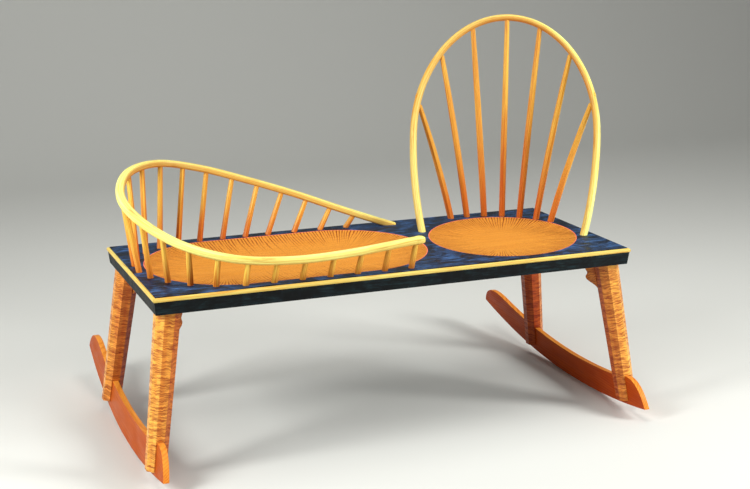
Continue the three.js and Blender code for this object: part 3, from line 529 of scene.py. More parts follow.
def foot_line():
    """The cradle's foot line: its centre line, half depth, left centre and runs."""
    sizes = bpy.context.scene.bench_cradle
    half_depth = HALF_DEPTH - (sizes.front_inset + sizes.rear_inset) / 2
    middle_y = PLANK_CENTRE.y + (sizes.front_inset - sizes.rear_inset) / 2
    end_x = PLANK_CENTRE.x + sizes.end_inset + sizes.end_reach - HALF_LENGTH
    rear_run = seat_centre().x - sizes.rear_clearance - end_x
    front_run = seat_centre().x - sizes.front_clearance - end_x
    end_run = math.pi * (sizes.end_reach + half_depth) / 2
    return half_depth, middle_y, end_x, rear_run, end_run, front_run


def foot_line_at(line_share):
    """Place on the foot line, and the level direction out of the cradle there."""
    half_depth, middle_y, end_x, rear_run, end_run, front_run = foot_line()
    past_rear = line_share * (rear_run + end_run + front_run) - rear_run
    if past_rear < 0:
        return Vector((end_x - past_rear, middle_y + half_depth, PLANK_TOP)), Vector((0, 1, 0))
    if past_rear < end_run:
        turned = math.pi / 2 + past_rear / end_run * math.pi
        out = Vector((math.cos(turned), math.sin(turned), 0))
        reach = bpy.context.scene.bench_cradle.end_reach
        return Vector((end_x + reach * out.x, middle_y + half_depth * out.y, PLANK_TOP)), out
    return Vector((end_x + past_rear - end_run, middle_y - half_depth, PLANK_TOP)), Vector((0, -1, 0))


# Shader trees


class Nodes:
    """Short ways to fill a node tree; each value is a number, a colour or another node's socket."""

    def __init__(self, tree):
        self.tree = tree

    def fill(self, node, inputs):
        for key, value in inputs.items():
            if isinstance(value, bpy.types.NodeSocket):
                self.tree.links.new(value, node.inputs[key])
            else:
                node.inputs[key].default_value = value

    def add(self, kind, inputs, **settings):
        """Adds a shader node and returns its outputs."""
        node = self.tree.nodes.new("ShaderNode" + kind)
        for key, value in settings.items():
            setattr(node, key, value)
        self.fill(node, inputs)
        return node.outputs

    def group(self, name, inputs):
        """Puts in a shared group, made the first time, and returns its outputs."""
        return self.add("Group", inputs, node_tree=bpy.data.node_groups.get(name) or GROUP_MAKERS[name]())

    def stored(self, name, output="Vector"):
        """Reads what a piece's mesh stores under a name."""
        return self.add("Attribute", {}, attribute_name=name)[output]

    def maths(self, operation, first, second=0.0, clamp=False):
        return self.add("Math", {0: first, 1: second}, operation=operation, use_clamp=clamp)[0]

    def times(self, first, second, clamp=False):
        return self.maths("MULTIPLY", first, second, clamp)

    def plus(self, first, second, clamp=False):
        return self.maths("ADD", first, second, clamp)

    def scaled(self, vector, factors):
        return self.add("VectorMath", {0: vector, 1: factors}, operation="MULTIPLY")[0]

    def noise(self, place, scales=(1, 1, 1), detail=2.0, roughness=0.5, distortion=0.0):
        """Noise with so many lumps to the metre in each direction."""
        inputs = {"Vector": self.scaled(place, scales), "Scale": 1.0}
        inputs.update({"Detail": detail, "Roughness": roughness, "Distortion": distortion})
        return self.add("TexNoise", inputs)["Fac"]

    def spread(self, value, low, high, to_low=0.0, to_high=1.0, smooth=True):
        """Stretches low to high over another range and holds it there."""
        inputs = {"Value": value, "From Min": low, "From Max": high, "To Min": to_low, "To Max": to_high}
        kind = "SMOOTHSTEP" if smooth else "LINEAR"
        return self.add("MapRange", inputs, interpolation_type=kind)["Result"]

    def blend(self, factor, first, second):
        return self.add("Mix", {0: factor, 6: first, 7: second}, data_type="RGBA")[2]

    def tinted(self, colour, tint):
        """The colour times the tint, never lighter than white."""
        inputs = {0: 1.0, 6: colour, 7: tint}
        return self.add("Mix", inputs, data_type="RGBA", blend_type="MULTIPLY", clamp_result=True)[2]

    def bump(self, height, distance):
        return self.add("Bump", {"Height": height, "Distance": distance, "Strength": 1.0})[0]


def new_group(name, inputs):
    """A new node group; an input without a default is a place, and one with four numbers a colour."""
    tree = bpy.data.node_groups.new(name, "ShaderNodeTree")
    for socket, default in inputs.items():
        kind = "Vector" if default is None else "Color" if isinstance(default, tuple) else "Float"
        made = tree.interface.new_socket(socket, in_out="INPUT", socket_type="NodeSocket" + kind)
        if default is not None:
            made.default_value = default
    return Nodes(tree), tree.nodes.new("NodeGroupInput").outputs


def finish_group(nodes, results):
    """Puts the results out under their names."""
    for name in results:
        kind = "Color" if name == "Color" else "Float"
        nodes.tree.interface.new_socket(name, in_out="OUTPUT", socket_type="NodeSocket" + kind)
    nodes.fill(nodes.tree.nodes.new("NodeGroupOutput"), results)
    return nodes.tree


def wood_grain_group():
    """Growth rings, fibres and pores of one board, with the grain along the third number."""
    inputs = {
        "Coordinates": None,
        "Light Wood": (0.8, 0.6, 0.3, 1),
        "Dark Wood": (0.5, 0.3, 0.1, 1),
        "Ring Width": 0.004,
        "Ring Strength": 0.4,
        "Pore Strength": 0.3,
        "Fibre Strength": 0.5,
    }
    nodes, given = new_group("wood grain", inputs)
    place = given["Coordinates"]
    sway = nodes.noise(place, (22, 22, 2.6), detail=3)
    off_heart = nodes.add("VectorMath", {0: nodes.scaled(place, (1, 1, 0)), 1: (0.034, 0.021, 0)})[0]
    reach = nodes.add("VectorMath", {0: off_heart}, operation="LENGTH")["Value"]
    swayed = nodes.plus(reach, nodes.times(sway, 0.02))
    turns = nodes.times(nodes.maths("DIVIDE", swayed, given["Ring Width"]), math.tau)
    ringed = nodes.times(nodes.spread(nodes.maths("SINE", turns), -0.6, 1.0), given["Ring Strength"])
    fibres = nodes.noise(place, (950, 950, 16), detail=4, roughness=0.65)
    fibred = nodes.times(nodes.spread(fibres, 0.3, 0.7), given["Fibre Strength"])
    flecks = nodes.spread(nodes.noise(place, (1700, 1700, 42), detail=1), 0.62, 0.72)
    pores = nodes.times(flecks, given["Pore Strength"])
    patches = nodes.spread(nodes.noise(place, (30, 30, 5)), 0.3, 0.7, -0.4, 0.5)
    patched = nodes.times(patches, given["Ring Strength"])
    shade = nodes.plus(nodes.plus(ringed, fibred), patched, clamp=True)
    wood = nodes.blend(shade, given["Light Wood"], given["Dark Wood"])
    pored = nodes.blend(pores, wood, (0.10, 0.035, 0.012, 1))
    height = nodes.maths("SUBTRACT", nodes.times(fibres, 0.6), pores)
    return finish_group(nodes, {"Color": pored, "Height": height})


def curl_group():
    """Ripple figure that crosses the grain in short wavering bands."""
    nodes, given = new_group("curl", {"Coordinates": None, "Spacing": 0.007, "Contrast": 0.12})
    parts = nodes.add("SeparateXYZ", {0: given["Coordinates"]})
    waver = nodes.noise(given["Coordinates"], (60, 60, 16), detail=4, roughness=0.6)
    run = nodes.plus(parts["Z"], nodes.times(waver, 0.016))
    low = nodes.maths("SUBTRACT", 0.5, given["Contrast"])
    high = nodes.plus(0.5, given["Contrast"])
    bands = []
    for across, finer in ((26, 1.0), (48, 0.4)):
        place = {axis: nodes.times(parts[axis], across) for axis in "XY"}
        place["Z"] = nodes.maths("DIVIDE", run, nodes.times(given["Spacing"], finer))
        band = nodes.noise(nodes.add("CombineXYZ", place)[0], detail=1.5, distortion=0.15)
        bands.append(nodes.spread(band, low, high))
    return finish_group(nodes, {"Band": bands[0], "Fine Band": bands[1]})


def brushed_paint_group():
    """Thin milk paint, brushed along the board and worn back; the lighter worn patches stand partly for
    painted sheen.
    """
    inputs = {
        "Coordinates": None,
        "Paint": (0.02, 0.03, 0.06, 1),
        "Worn Paint": (0.08, 0.12, 0.3, 1),
        "Wear": 0.5,
    }
    nodes, given = new_group("brushed paint", inputs)
    place = given["Coordinates"]
    strokes = nodes.noise(place, (230, 230, 24), detail=5, roughness=0.68, distortion=0.5)
    clouds = nodes.noise(place, (30, 30, 17), detail=6, roughness=0.66, distortion=0.6)
    crossed = nodes.noise(place, (26, 26, 90), detail=3)
    # lighter worn paint, partly painted sheen
    rubbed_and_sheen = nodes.times(nodes.spread(clouds, 0.38, 0.66), nodes.spread(strokes, 0.38, 0.62))
    light = nodes.times(rubbed_and_sheen, given["Wear"], clamp=True)
    base = nodes.blend(light, given["Paint"], given["Worn Paint"])
    dark_patch = nodes.spread(crossed, 0.5, 0.75, 0.0, 0.4)
    results = {
        "Color": nodes.blend(dark_patch, base, (0.009, 0.011, 0.019, 1)),
        "Height": nodes.plus(strokes, nodes.times(crossed, 0.35)),
        "Roughness": nodes.spread(clouds, 0.3, 0.7, 0.4, 0.58),
    }
    return finish_group(nodes, results)


def carved_dish_group():
    """Gouge flutes that run in from a dish's rim, and the fresh cut line round it. The flutes' dark lines are
    painted shade in their grooves.
    """
    nodes, given = new_group("carved dish", {"Dish": None, "Flute Width": 0.0085, "Flute Reach": 0.17})
    place = given["Dish"]
    parts = nodes.add("SeparateXYZ", {0: place})
    waver = nodes.times(nodes.noise(place, (26, 8, 0), detail=1), 1.6)
    cut_number = nodes.plus(nodes.maths("DIVIDE", parts["X"], given["Flute Width"]), waver)
    ends = nodes.spread(nodes.noise(place, (95, 9, 0)), 0.25, 0.75, 0.35, 1.3)
    reach = nodes.times(given["Flute Reach"], ends)
    near_rim = nodes.spread(nodes.maths("DIVIDE", parts["Y"], reach), 0.0, 1.0, 1.0, 0.0)
    # dark in the flutes' grooves: painted shade
    cuts = nodes.spread(nodes.maths("SINE", nodes.times(cut_number, math.tau)), 0.0, 0.9)
    uneven = nodes.spread(nodes.noise(place, (130, 20, 0), detail=1), 0.3, 0.6, 0.4, 1.0)
    results = {
        "Flutes": nodes.times(nodes.times(cuts, uneven), near_rim),
        "Rim": nodes.spread(parts["Y"], 0.0018, 0.0028, 1.0, 0.0),
        "Strikes": nodes.spread(nodes.noise(place, (330, 120, 0), detail=3), 0.45, 0.72),
    }
    return finish_group(nodes, results)


def flat_tone_group():
    """Shifts a colour by the tone of its flat, redder as it gets darker; the tone holds painted light and
    shade as well as the flat's own tone.
    """
    inputs = {"Color": (0.8, 0.6, 0.3, 1), "Tone": 0.5, "Middle Tint": (0.95, 0.92, 0.89, 1)}
    nodes, given = new_group("flat tone", inputs)
    below = nodes.spread(given["Tone"], 0.0, 0.5, smooth=False)
    above = nodes.spread(given["Tone"], 0.5, 1.0, smooth=False)
    shaded = nodes.blend(below, (0.62, 0.26, 0.12, 1), given["Middle Tint"])
    tint = nodes.blend(above, shaded, (1.28, 1.58, 1.66, 1))
    return finish_group(nodes, {"Color": nodes.tinted(given["Color"], tint)})


def handling_group():
    """Broad patches where hands and cloth have polished the surface, and small smudges."""
    nodes, given = new_group("handling", {"Coordinates": None})
    polish = nodes.spread(nodes.noise(given["Coordinates"], (26, 26, 11), detail=3), 0.35, 0.7)
    smudge = nodes.spread(nodes.noise(given["Coordinates"], (240, 240, 90), detail=3), 0.4, 0.75)
    return finish_group(nodes, {"Polish": polish, "Smudge": smudge})


GROUP_MAKERS = {
    "wood grain": wood_grain_group,
    "curl": curl_group,
    "brushed paint": brushed_paint_group,
    "carved dish": carved_dish_group,
    "flat tone": flat_tone_group,
    "handling": handling_group,
}


# Materials


def linear(srgb):
    """A colour as it is seen, turned into the light that it stands for."""
    values = [c / 12.92 if c <= 0.04045 else ((c + 0.055) / 1.055) ** 2.4 for c in srgb]
    return (*values, 1.0)


def finish(name):
    return linear(getattr(bpy.context.scene.bench_finishes, name))


def finished(name, make_sockets):
    """A new material, its principled shader filled with what the function makes from its nodes."""
    material = bpy.data.materials.new(name)
    material.use_nodes = True
    nodes = Nodes(material.node_tree)
    nodes.fill(nodes.tree.nodes["Principled BSDF"], make_sockets(nodes))
    return material


def grained(nodes, light, dark, ring_width, ring_strength, pores, fibres=0.5):
    """Wood in two of the finishes, lying along the piece's own grain."""
    inputs = {
        "Coordinates": nodes.stored("grain"),
        "Light Wood": finish(light),
        "Dark Wood": finish(dark),
        "Ring Width": ring_width,
        "Ring Strength": ring_strength,
        "Pore Strength": pores,
        "Fibre Strength": fibres,
    }
    return nodes.group("wood grain", inputs)


def handled(nodes, sign, least, most):
    """A roughness that follows a sign of handling, from none of it to full."""
    handling = nodes.group("handling", {"Coordinates": nodes.stored("grain")})
    return nodes.spread(handling[sign], 0.0, 1.0, least, most, smooth=False)


def toned(nodes, colour, **tint):
    """The colour, shifted by the tone stored on each flat."""
    return nodes.group("flat tone", {"Color": colour, "Tone": nodes.stored("tone", "Fac"), **tint})["Color"]


def oiled(nodes, grain, colour, coat, depth):
    """Shader sockets of a board finished in oil."""
    return {
        "Base Color": colour,
        "Roughness": handled(nodes, "Polish", 0.5, 0.34),
        "Normal": nodes.bump(grain["Height"], depth),
        "Coat Weight": coat,
        "Coat Roughness": 0.25,
        "Specular IOR Level": 0.1 + coat,
    }


def pale_ash(nodes):
    """Pale wood, with a few brown marks where the bark side was."""
    grain = grained(nodes, "pale", "pale_dark", ring_width=0.0042, ring_strength=0.36, pores=0.2)
    clouds = nodes.noise(nodes.stored("grain"), (95, 95, 11), detail=4, roughness=0.6)
    marks = nodes.times(nodes.spread(clouds, 0.56, 0.72), 0.55)
    marked = nodes.blend(marks, toned(nodes, grain["Color"]), finish("pale_mark"))
    return oiled(nodes, grain, marked, coat=0.1, depth=0.00022)


def golden_hickory(nodes):
    """Golden wood with painted shade: darker and redder towards a spindle's foot."""
    grain = grained(nodes, "golden", "golden_dark", ring_width=0.0035, ring_strength=0.42, pores=0.3)
    near_foot = nodes.spread(nodes.stored("rise", "Fac"), 0.0, 0.75, 0.75, 0.0)
    foot_painted_shade = nodes.blend(near_foot, (1, 1, 1, 1), finish("golden_foot"))
    return oiled(nodes, grain, nodes.tinted(toned(nodes, grain["Color"]), foot_painted_shade), coat=0.1, depth=0.00022)


def rocker_maple(nodes):
    """Plain warm maple."""
    grain = grained(nodes, "rocker", "rocker_dark", ring_width=0.006, ring_strength=0.35, pores=0.22)
    return oiled(nodes, grain, toned(nodes, grain["Color"]), coat=0.0, depth=0.00018)


def curly_maple(nodes):
    """Stained maple whose rippled grain takes the stain in bands."""
    grain = grained(nodes, "curly", "curly_mid", ring_width=0.016, ring_strength=0.3, pores=0.06, fibres=0.2)
    curl = nodes.group("curl", {"Coordinates": nodes.stored("grain"), "Spacing": 0.0052, "Contrast": 0.13})
    bands = nodes.plus(nodes.times(curl["Band"], 0.42), nodes.times(curl["Fine Band"], 0.46), clamp=True)
    stained = nodes.blend(bands, grain["Color"], finish("curly_dark"))
    ripples = nodes.spread(curl["Band"], 0.0, 1.0, 0.30, 0.44, smooth=False)
    return {
        "Base Color": toned(nodes, stained, **{"Middle Tint": (0.95, 0.78, 0.66, 1)}),
        "Roughness": nodes.plus(ripples, handled(nodes, "Smudge", 0.0, 0.05)),
        "Normal": nodes.bump(nodes.plus(nodes.times(curl["Band"], 0.8), grain["Height"]), 0.00025),
        "Coat Weight": 0.06,
        "Coat Roughness": 0.2,
        "Specular IOR Level": 0.26,
    }


def milk_paint(nodes, paint, wear):
    """Dark milk paint under oil, brushed along the plank, its lighter worn paint partly painted sheen."""
    inputs = {"Coordinates": nodes.stored("grain"), "Wear": wear}
    inputs.update({"Paint": finish(paint), "Worn Paint": finish(paint + "_worn")})
    brushed = nodes.group("brushed paint", inputs)
    return {
        "Base Color": brushed["Color"],
        "Roughness": brushed["Roughness"],
        "Normal": nodes.bump(brushed["Height"], 0.0004),
        "Specular IOR Level": 0.12,
    }


def blue_top(nodes):
    """The paint of the plank's top."""
    return milk_paint(nodes, "paint", wear=1.0)


def dark_sides(nodes):
    """The paint of the plank's sides and underside."""
    return milk_paint(nodes, "paint_edge", wear=0.8)


def carved_dish(nodes):
    """Bare wood of the dishes, fluted by the gouge towards the rim, with painted shade in the flutes."""
    grain = grained(nodes, "dish", "dish_dark", ring_width=0.017, ring_strength=0.08, pores=0.2, fibres=0.3)
    carving = nodes.group("carved dish", {"Dish": nodes.stored("dish")})
    # painted shade in the flutes' grooves, with the gouge's strike marks
    cut = nodes.times(carving["Flutes"], 0.9)
    struck = nodes.times(carving["Strikes"], 0.3)
    fluted = nodes.blend(nodes.plus(cut, struck, clamp=True), grain["Color"], finish("dish_cut"))
    return {
        "Base Color": nodes.blend(carving["Rim"], fluted, finish("dish_rim")),
        "Roughness": handled(nodes, "Polish", 0.72, 0.6),
        "Normal": nodes.bump(nodes.plus(nodes.times(carving["Flutes"], -2.2), grain["Height"]), 0.0003),
        "Specular IOR Level": 0.1,
    }


def pale_floor(nodes):
    """Matt paint of the studio's floor."""
    return {"Base Color": linear(bpy.context.scene.bench_studio.floor), "Roughness": 0.75}


MATERIAL_MAKERS = {
    "pale ash": pale_ash,
    "golden hickory": golden_hickory,
    "rocker maple": rocker_maple,
    "curly maple": curly_maple,
    "blue milk paint": blue_top,
    "dark milk paint": dark_sides,
    "carved dish": carved_dish,
    "studio floor": pale_floor,
}


def material_named(name):
    return bpy.data.materials.get(name) or finished(name, MATERIAL_MAKERS[name])


# Plank


def seat_rim():
    """Points round the seat's oval dish, each with its middle."""
    sizes = bpy.context.scene.bench_plank
    spine = seat_point(0, -sizes.seat_forward, 0)
    rim = []
    for i in range(SEAT_RIM_POINTS):
        turned = math.tau * i / SEAT_RIM_POINTS
        across = sizes.seat_width / 2 * math.cos(turned)
        back = sizes.seat_length / 2 * math.sin(turned) - sizes.seat_forward
        rim.append((seat_point(across, back, 0), spine))
    return rim


def cradle_rim():
    """Points round the cradle's long dish, each with the middle of its round end."""
    sizes = bpy.context.scene.bench_plank
    half_depth, middle_y, end_x, *_ = foot_line()
    deep = half_depth - sizes.cradle_inset
    left_reach = bpy.context.scene.bench_cradle.end_reach - sizes.cradle_end_inset
    right_x = seat_centre().x - sizes.cradle_clearance
    rim = []
    for i in range(CRADLE_RIM_POINTS):
        turned = math.tau * (i + 0.5) / CRADLE_RIM_POINTS
        right = math.cos(turned) > 0
        spine = Vector((right_x if right else end_x, middle_y, PLANK_TOP))
        reach = deep if right else left_reach
        rim.append((spine + Vector((reach * math.cos(turned), deep * math.sin(turned), 0)), spine))
    return rim


def carve_dish(bm, rim, depth, dish_layer):
    """Carves a dish under a rim of points, each with its place on the spine. Returns the rim's vertices."""
    around = [0.0]
    for (a, _), (b, _) in zip(rim, rim[1:]):
        around.append(around[-1] + (b - a).length)
    rows = []
    for ring in range(DISH_RINGS):
        drawn = 1 - (ring / DISH_RINGS) ** RING_DRIFT
        row = []
        for (point, spine), run in zip(rim, around):
            place = spine.lerp(point, drawn)
            vertex = bm.verts.new((place.x, place.y, PLANK_TOP - depth * (1 - drawn**DISH_ROUND)))
            vertex[dish_layer] = (run, (point - place).length, 0)
            row.append(vertex)
        rows.append(row)
    for row, inner in zip(rows, rows[1:]):
        for i in range(len(row)):
            j = (i + 1) % len(row)
            bm.faces.new((row[i], row[j], inner[j], inner[i])).material_index = DISH
    close_dish_floor(bm, rows[-1], dish_layer)
    return rows[0]


def close_dish_floor(bm, row, dish_layer):
    """Fills the level middle of a dish."""
    for face_points in tessellate_polygon([[vertex.co for vertex in row]]):
        bm.faces.new([row[i] for i in face_points]).material_index = DISH
    for vertex in row:
        vertex[dish_layer] = (vertex[dish_layer][0], 1.0, 0)


def level_ring(bm, half_length, half_depth, height):
    """Four corners round the plank's middle at one height."""
    ring = []
    for sx, sy in ((-1, -1), (1, -1), (1, 1), (-1, 1)):
        corner = (PLANK_CENTRE.x + sx * half_length, PLANK_CENTRE.y + sy * half_depth, height)
        ring.append(bm.verts.new(corner))
    return ring


def plank_piece():
    """The plank: sides that slope in, a rebate for the strips, and two dishes in its top."""
    sizes = bpy.context.scene.bench_plank
    bm = bmesh.new()
    dish_layer = bm.verts.layers.float_vector.new("dish")
    shoulder_x = PLANK_HIGH.x - PLANK_CENTRE.x
    shoulder_y = PLANK_HIGH.y - PLANK_CENTRE.y
    core_x, core_y = CORE_HALF_LENGTH - GAP, CORE_HALF_DEPTH - GAP
    slope = sizes.undercut / (REBATE - UNDERSIDE)
    rings = []
    for turned in ARRIS_TURNS:
        inwards = sizes.arris * (1 - math.sin(turned)) + sizes.undercut - sizes.arris * slope
        height = UNDERSIDE + sizes.arris * (1 - math.cos(turned))
        rings.append(level_ring(bm, shoulder_x - inwards, shoulder_y - inwards, height))
    rings.append(level_ring(bm, shoulder_x, shoulder_y, REBATE - GAP))
    rings.append(level_ring(bm, core_x, core_y, REBATE - GAP))
    for turned in ARRIS_TURNS:
        inwards = sizes.arris * (1 - math.cos(turned))
        height = PLANK_TOP - sizes.arris * (1 - math.sin(turned))
        rings.append(level_ring(bm, core_x - inwards, core_y - inwards, height))
    bm.faces.new(reversed(rings[0])).material_index = SIDES
    for lower, upper in zip(rings, rings[1:]):
        side = TOP if upper[0].co.z > PLANK_TOP - sizes.arris * TOP_SHARE else SIDES
        for i in range(4):
            j = (i + 1) % 4
            bm.faces.new((lower[i], lower[j], upper[j], upper[i])).material_index = side
    rims = [
        carve_dish(bm, seat_rim(), sizes.seat_depth, dish_layer),
        carve_dish(bm, cradle_rim(), sizes.cradle_depth, dish_layer),
    ]
    loops = [rings[-1], *rims]
    flat = [vertex for loop in loops for vertex in loop]
    for face_points in tessellate_polygon([[vertex.co for vertex in loop] for loop in loops]):
        bm.faces.new([flat[i] for i in face_points]).material_index = TOP
    bmesh.ops.recalc_face_normals(bm, faces=bm.faces)
    mark_sharp_edges(bm)
    grain = [(v.co.y - PLANK_CENTRE.y, v.co.z - PLANK_TOP, v.co.x - PLANK_CENTRE.x) for v in bm.verts]
    piece_from(bm, "plank", PLANK_FINISHES, ["seat_plank"], grain)


# Bow


def bow_half():
    """One half of the bow from the foot to the crown, across the seat and up along the lean."""
    sizes = bpy.context.scene.bench_seat
    below = (PLANK_TOP - UNDERSIDE + BOW_TRIM) / math.cos(sizes.bow_lean)
    flare = sizes.bow_half_width - sizes.bow_foot_half_width
    crown = sizes.bow_rise - sizes.bow_widest_rise
    points = [(sizes.bow_foot_half_width - 2 * flare * below / sizes.bow_widest_rise, -below)]
    for i in range(BOW_STILE_STEPS):
        risen = i / BOW_STILE_STEPS
        points.append((sizes.bow_half_width - flare * (1 - risen) ** 2, sizes.bow_widest_rise * risen))
    for i in range(BOW_CROWN_STEPS):
        turned = i / BOW_CROWN_STEPS * math.pi / 2
        rise = sizes.bow_widest_rise + crown * math.sin(turned)
        points.append((sizes.bow_half_width * math.cos(turned), rise))
    return points


def bow_point(across, rise):
    """Place in the bow's leaning plane."""
    lean = bpy.context.scene.bench_seat.bow_lean
    return seat_point(across, rise * math.sin(lean), rise * math.cos(lean))


def bow_piece():
    """The bent bow, thinner at its crown, with its feet trimmed under the plank."""
    sizes = bpy.context.scene.bench_seat
    half = bow_half()
    points = [bow_point(-across, rise) for across, rise in half]
    points.append(bow_point(0, sizes.bow_rise))
    points += [bow_point(across, rise) for across, rise in reversed(half)]
    stations = even_stations(smooth_path(points), BEND_STEPS)
    plane_normal = (bow_point(1, 0) - bow_point(0, 0)).cross(bow_point(0, 1) - bow_point(0, 0)).normalized()
    bow_length = stations[-1][2]

    def radius_at(i):
        radius = sizes.bow_crown_radius
        radius += (sizes.bow_foot_radius - sizes.bow_crown_radius) * abs(2 * stations[i][2] / bow_length - 1)
        return radius, radius

    turns = [math.tau * i / BOW_SIDES for i in range(BOW_SIDES)]
    section = [(math.cos(turned), math.sin(turned)) for turned in turns]
    bm, grain = sweep(stations, section, lambda heading: plane_normal, radius_at)
    grain = [(x * sizes.bow_foot_radius, y * sizes.bow_foot_radius, run) for x, y, run in grain]
    for vertex in bm.verts:
        vertex.co.z = max(vertex.co.z, UNDERSIDE - SUNK)
    mark_sharp_edges(bm)
    piece_from(bm, "bow", ["pale ash"], ["back_hoop"], grain, flat_tones(painted_lighting_strength=0.3))


# Cradle rail


def rounded_section(width, thickness, radius):
    """Outline of the rail, cut across."""
    points = []
    for quarter, (sx, sy) in enumerate([(1, 1), (-1, 1), (-1, -1), (1, -1)]):
        for i in range(CORNER_STEPS + 1):
            turned = (quarter + i / CORNER_STEPS) * math.pi / 2
            x = sx * (width / 2 - radius) + radius * math.cos(turned)
            y = sy * (thickness / 2 - radius) + radius * math.sin(turned)
            points.append((x, y))
    return points


def rail_piece():
    """The bent rail, with a round knob at its free end."""
    sizes = bpy.context.scene.bench_cradle
    points = []
    for line_share, lean_share, rise_share in RAIL_SHARES:
        place, out = foot_line_at(line_share)
        rise = Vector((0, 0, rise_share * sizes.rail_rise))
        points.append(place + out * (lean_share * sizes.rail_lean) + rise)
    stations = even_stations(smooth_path(points), BEND_STEPS)
    end, heading, rail_length = stations[-1]
    half_width = sizes.rail_width / 2
    knob_radius = half_width + sizes.knob_proud
    middle_back = knob_radius - sizes.knob_end_reach
    swell = math.acos(half_width / knob_radius)
    body_end = rail_length - middle_back - knob_radius * math.sin(swell)
    stations = [station for station in stations if station[2] < body_end]
    scales = [(1.0, 1.0)] * len(stations)
    for i in range(KNOB_STEPS):
        turned = -swell + (math.pi / 2 + swell) * i / (KNOB_STEPS - 1 + KNOB_TIP)
        reach = knob_radius * math.sin(turned) - middle_back
        stations.append((end + heading * reach, heading, rail_length + reach))
        thin = math.sqrt(math.cos(turned)) if turned > 0 else 1.0
        scales.append((knob_radius * math.cos(turned) / half_width, thin))

    def side_of(direction):
        up = Vector((0, 0, 1))
        top = (up - direction * up.dot(direction)).normalized()
        return direction.cross(top)

    section = rounded_section(sizes.rail_width, sizes.rail_thickness, sizes.rail_round)
    bm, grain = sweep(stations, section, side_of, lambda i: scales[i])
    mark_sharp_edges(bm)
    piece_from(bm, "rail", ["pale ash"], ["cradle_rail"], grain, flat_tones(painted_lighting_strength=0.36))


# Studio


def studio_stage():
    """Pale floor that curves up into a backdrop."""
    profile = [(STAGE_FRONT, 0.0), (STAGE_BACK, 0.0)]
    for i in range(1, STAGE_CURVE_STEPS + 1):
        turned = i / STAGE_CURVE_STEPS * math.pi / 2
        forward = STAGE_BACK + STAGE_CURVE * math.sin(turned)
        profile.append((forward, STAGE_CURVE * (1 - math.cos(turned))))
    profile.append((STAGE_BACK + STAGE_CURVE, STAGE_HEIGHT))
    bm = bmesh.new()
    rows = [[bm.verts.new((x, y, z)) for x in (-STAGE_HALF_WIDTH, STAGE_HALF_WIDTH)] for y, z in profile]
    for row, after in zip(rows, rows[1:]):
        bm.faces.new((row[0], row[1], after[1], after[0])).smooth = True
    mesh = bpy.data.meshes.new("studio_floor")
    bm.to_mesh(mesh)
    bm.free()
    mesh.materials.append(material_named("studio floor"))
    floor = bpy.data.objects.new("studio_floor", mesh)
    bpy.context.scene.collection.objects.link(floor)


def studio_lamps():
    """Soft lamps that face the plank, and an even light from all sides."""
    settings = bpy.context.scene.bench_studio
    for name, (place, width, height) in LAMPS.items():
        lamp = bpy.data.lights.new(name + "_lamp", "AREA")
        lamp.shape = "RECTANGLE"
        lamp.size = width
        lamp.size_y = height
        lamp.energy = getattr(settings, name + "_power")
        lamp.color = LAMP_COLOUR
        holder = bpy.data.objects.new(lamp.name, lamp)
        holder.location = place
        holder.rotation_euler = (PLANK_CENTRE - Vector(place)).to_track_quat("-Z", "Y").to_euler()
        bpy.context.scene.collection.objects.link(holder)
    world = bpy.data.worlds.new("studio sky")
    world.use_nodes = True
    background = world.node_tree.nodes["Background"]
    background.inputs["Color"].default_value = SKY_COLOUR
    background.inputs["Strength"].default_value = settings.sky
    bpy.context.scene.world = world


def studio_camera():
    """The camera, where the photograph was taken from."""
    settings = bpy.context.scene.bench_studio
    yaw, pitch, roll = settings.camera_yaw, settings.camera_pitch, settings.camera_roll
    ahead = Vector((math.sin(yaw) * math.cos(pitch), math.cos(yaw) * math.cos(pitch), -math.sin(pitch)))
    right = Vector((math.cos(yaw), -math.sin(yaw), 0))
    up = right.cross(ahead)
    tilted_right = right * math.cos(roll) - up * math.sin(roll)
    tilted_up = right * math.sin(roll) + up * math.cos(roll)
    turn = Matrix((tilted_right, tilted_up, -ahead)).transposed()
    camera = bpy.data.cameras.new("camera")
    camera.lens = settings.lens
    camera.sensor_width = 36
    camera.clip_end = 100
    holder = bpy.data.objects.new("camera", camera)
    place = Vector((PLANK_CENTRE.x, PLANK_CENTRE.y, PLANK_TOP)) + Vector(settings.camera_place)
    holder.matrix_world = Matrix.Translation(place) @ turn.to_4x4()
    bpy.context.scene.collection.objects.link(holder)
    bpy.context.scene.camera = holder


# Operators


class BENCH_OT_plank(bpy.types.Operator):
    """Make the painted plank with its two carved dishes"""

    bl_idname = "bench.plank"
    bl_label = "Plank"

    def execute(self, context):
        plank_piece()
        return {"FINISHED"}


class BENCH_OT_edge_strips(bpy.types.Operator):
    """Make the four rounded strips let into the plank's top edge"""

    bl_idname = "bench.edge_strips"
    bl_label = "Edge Strips"

    def execute(self, context):
        worked_pieces("edge_strip_", "strip_", EDGES, "pale ash")
        return {"FINISHED"}


class BENCH_OT_bow(bpy.types.Operator):
    """Make the bent bow behind the seat"""

    bl_idname = "bench.bow"
    bl_label = "Bow"

    def execute(self, context):
        bow_piece()
        return {"FINISHED"}


class BENCH_OT_back_spindles(bpy.types.Operator):
    """Make the sprung spindles of the seat's back"""

    bl_idname = "bench.back_spindles"
    bl_label = "Back Spindles"

    def execute(self, context):
        tones = flat_tones(spread=0.26, painted_lighting_strength=0.2)
        worked_pieces(
            "", "spoke_", BACK_SPINDLES, "golden hickory", arris=0.0009, tone_of=tones
        )
        return {"FINISHED"}


class BENCH_OT_rail(bpy.types.Operator):
    """Make the bent rail round the cradle"""

    bl_idname = "bench.rail"
    bl_label = "Cradle Rail"

    def execute(self, context):
        rail_piece()
        return {"FINISHED"}


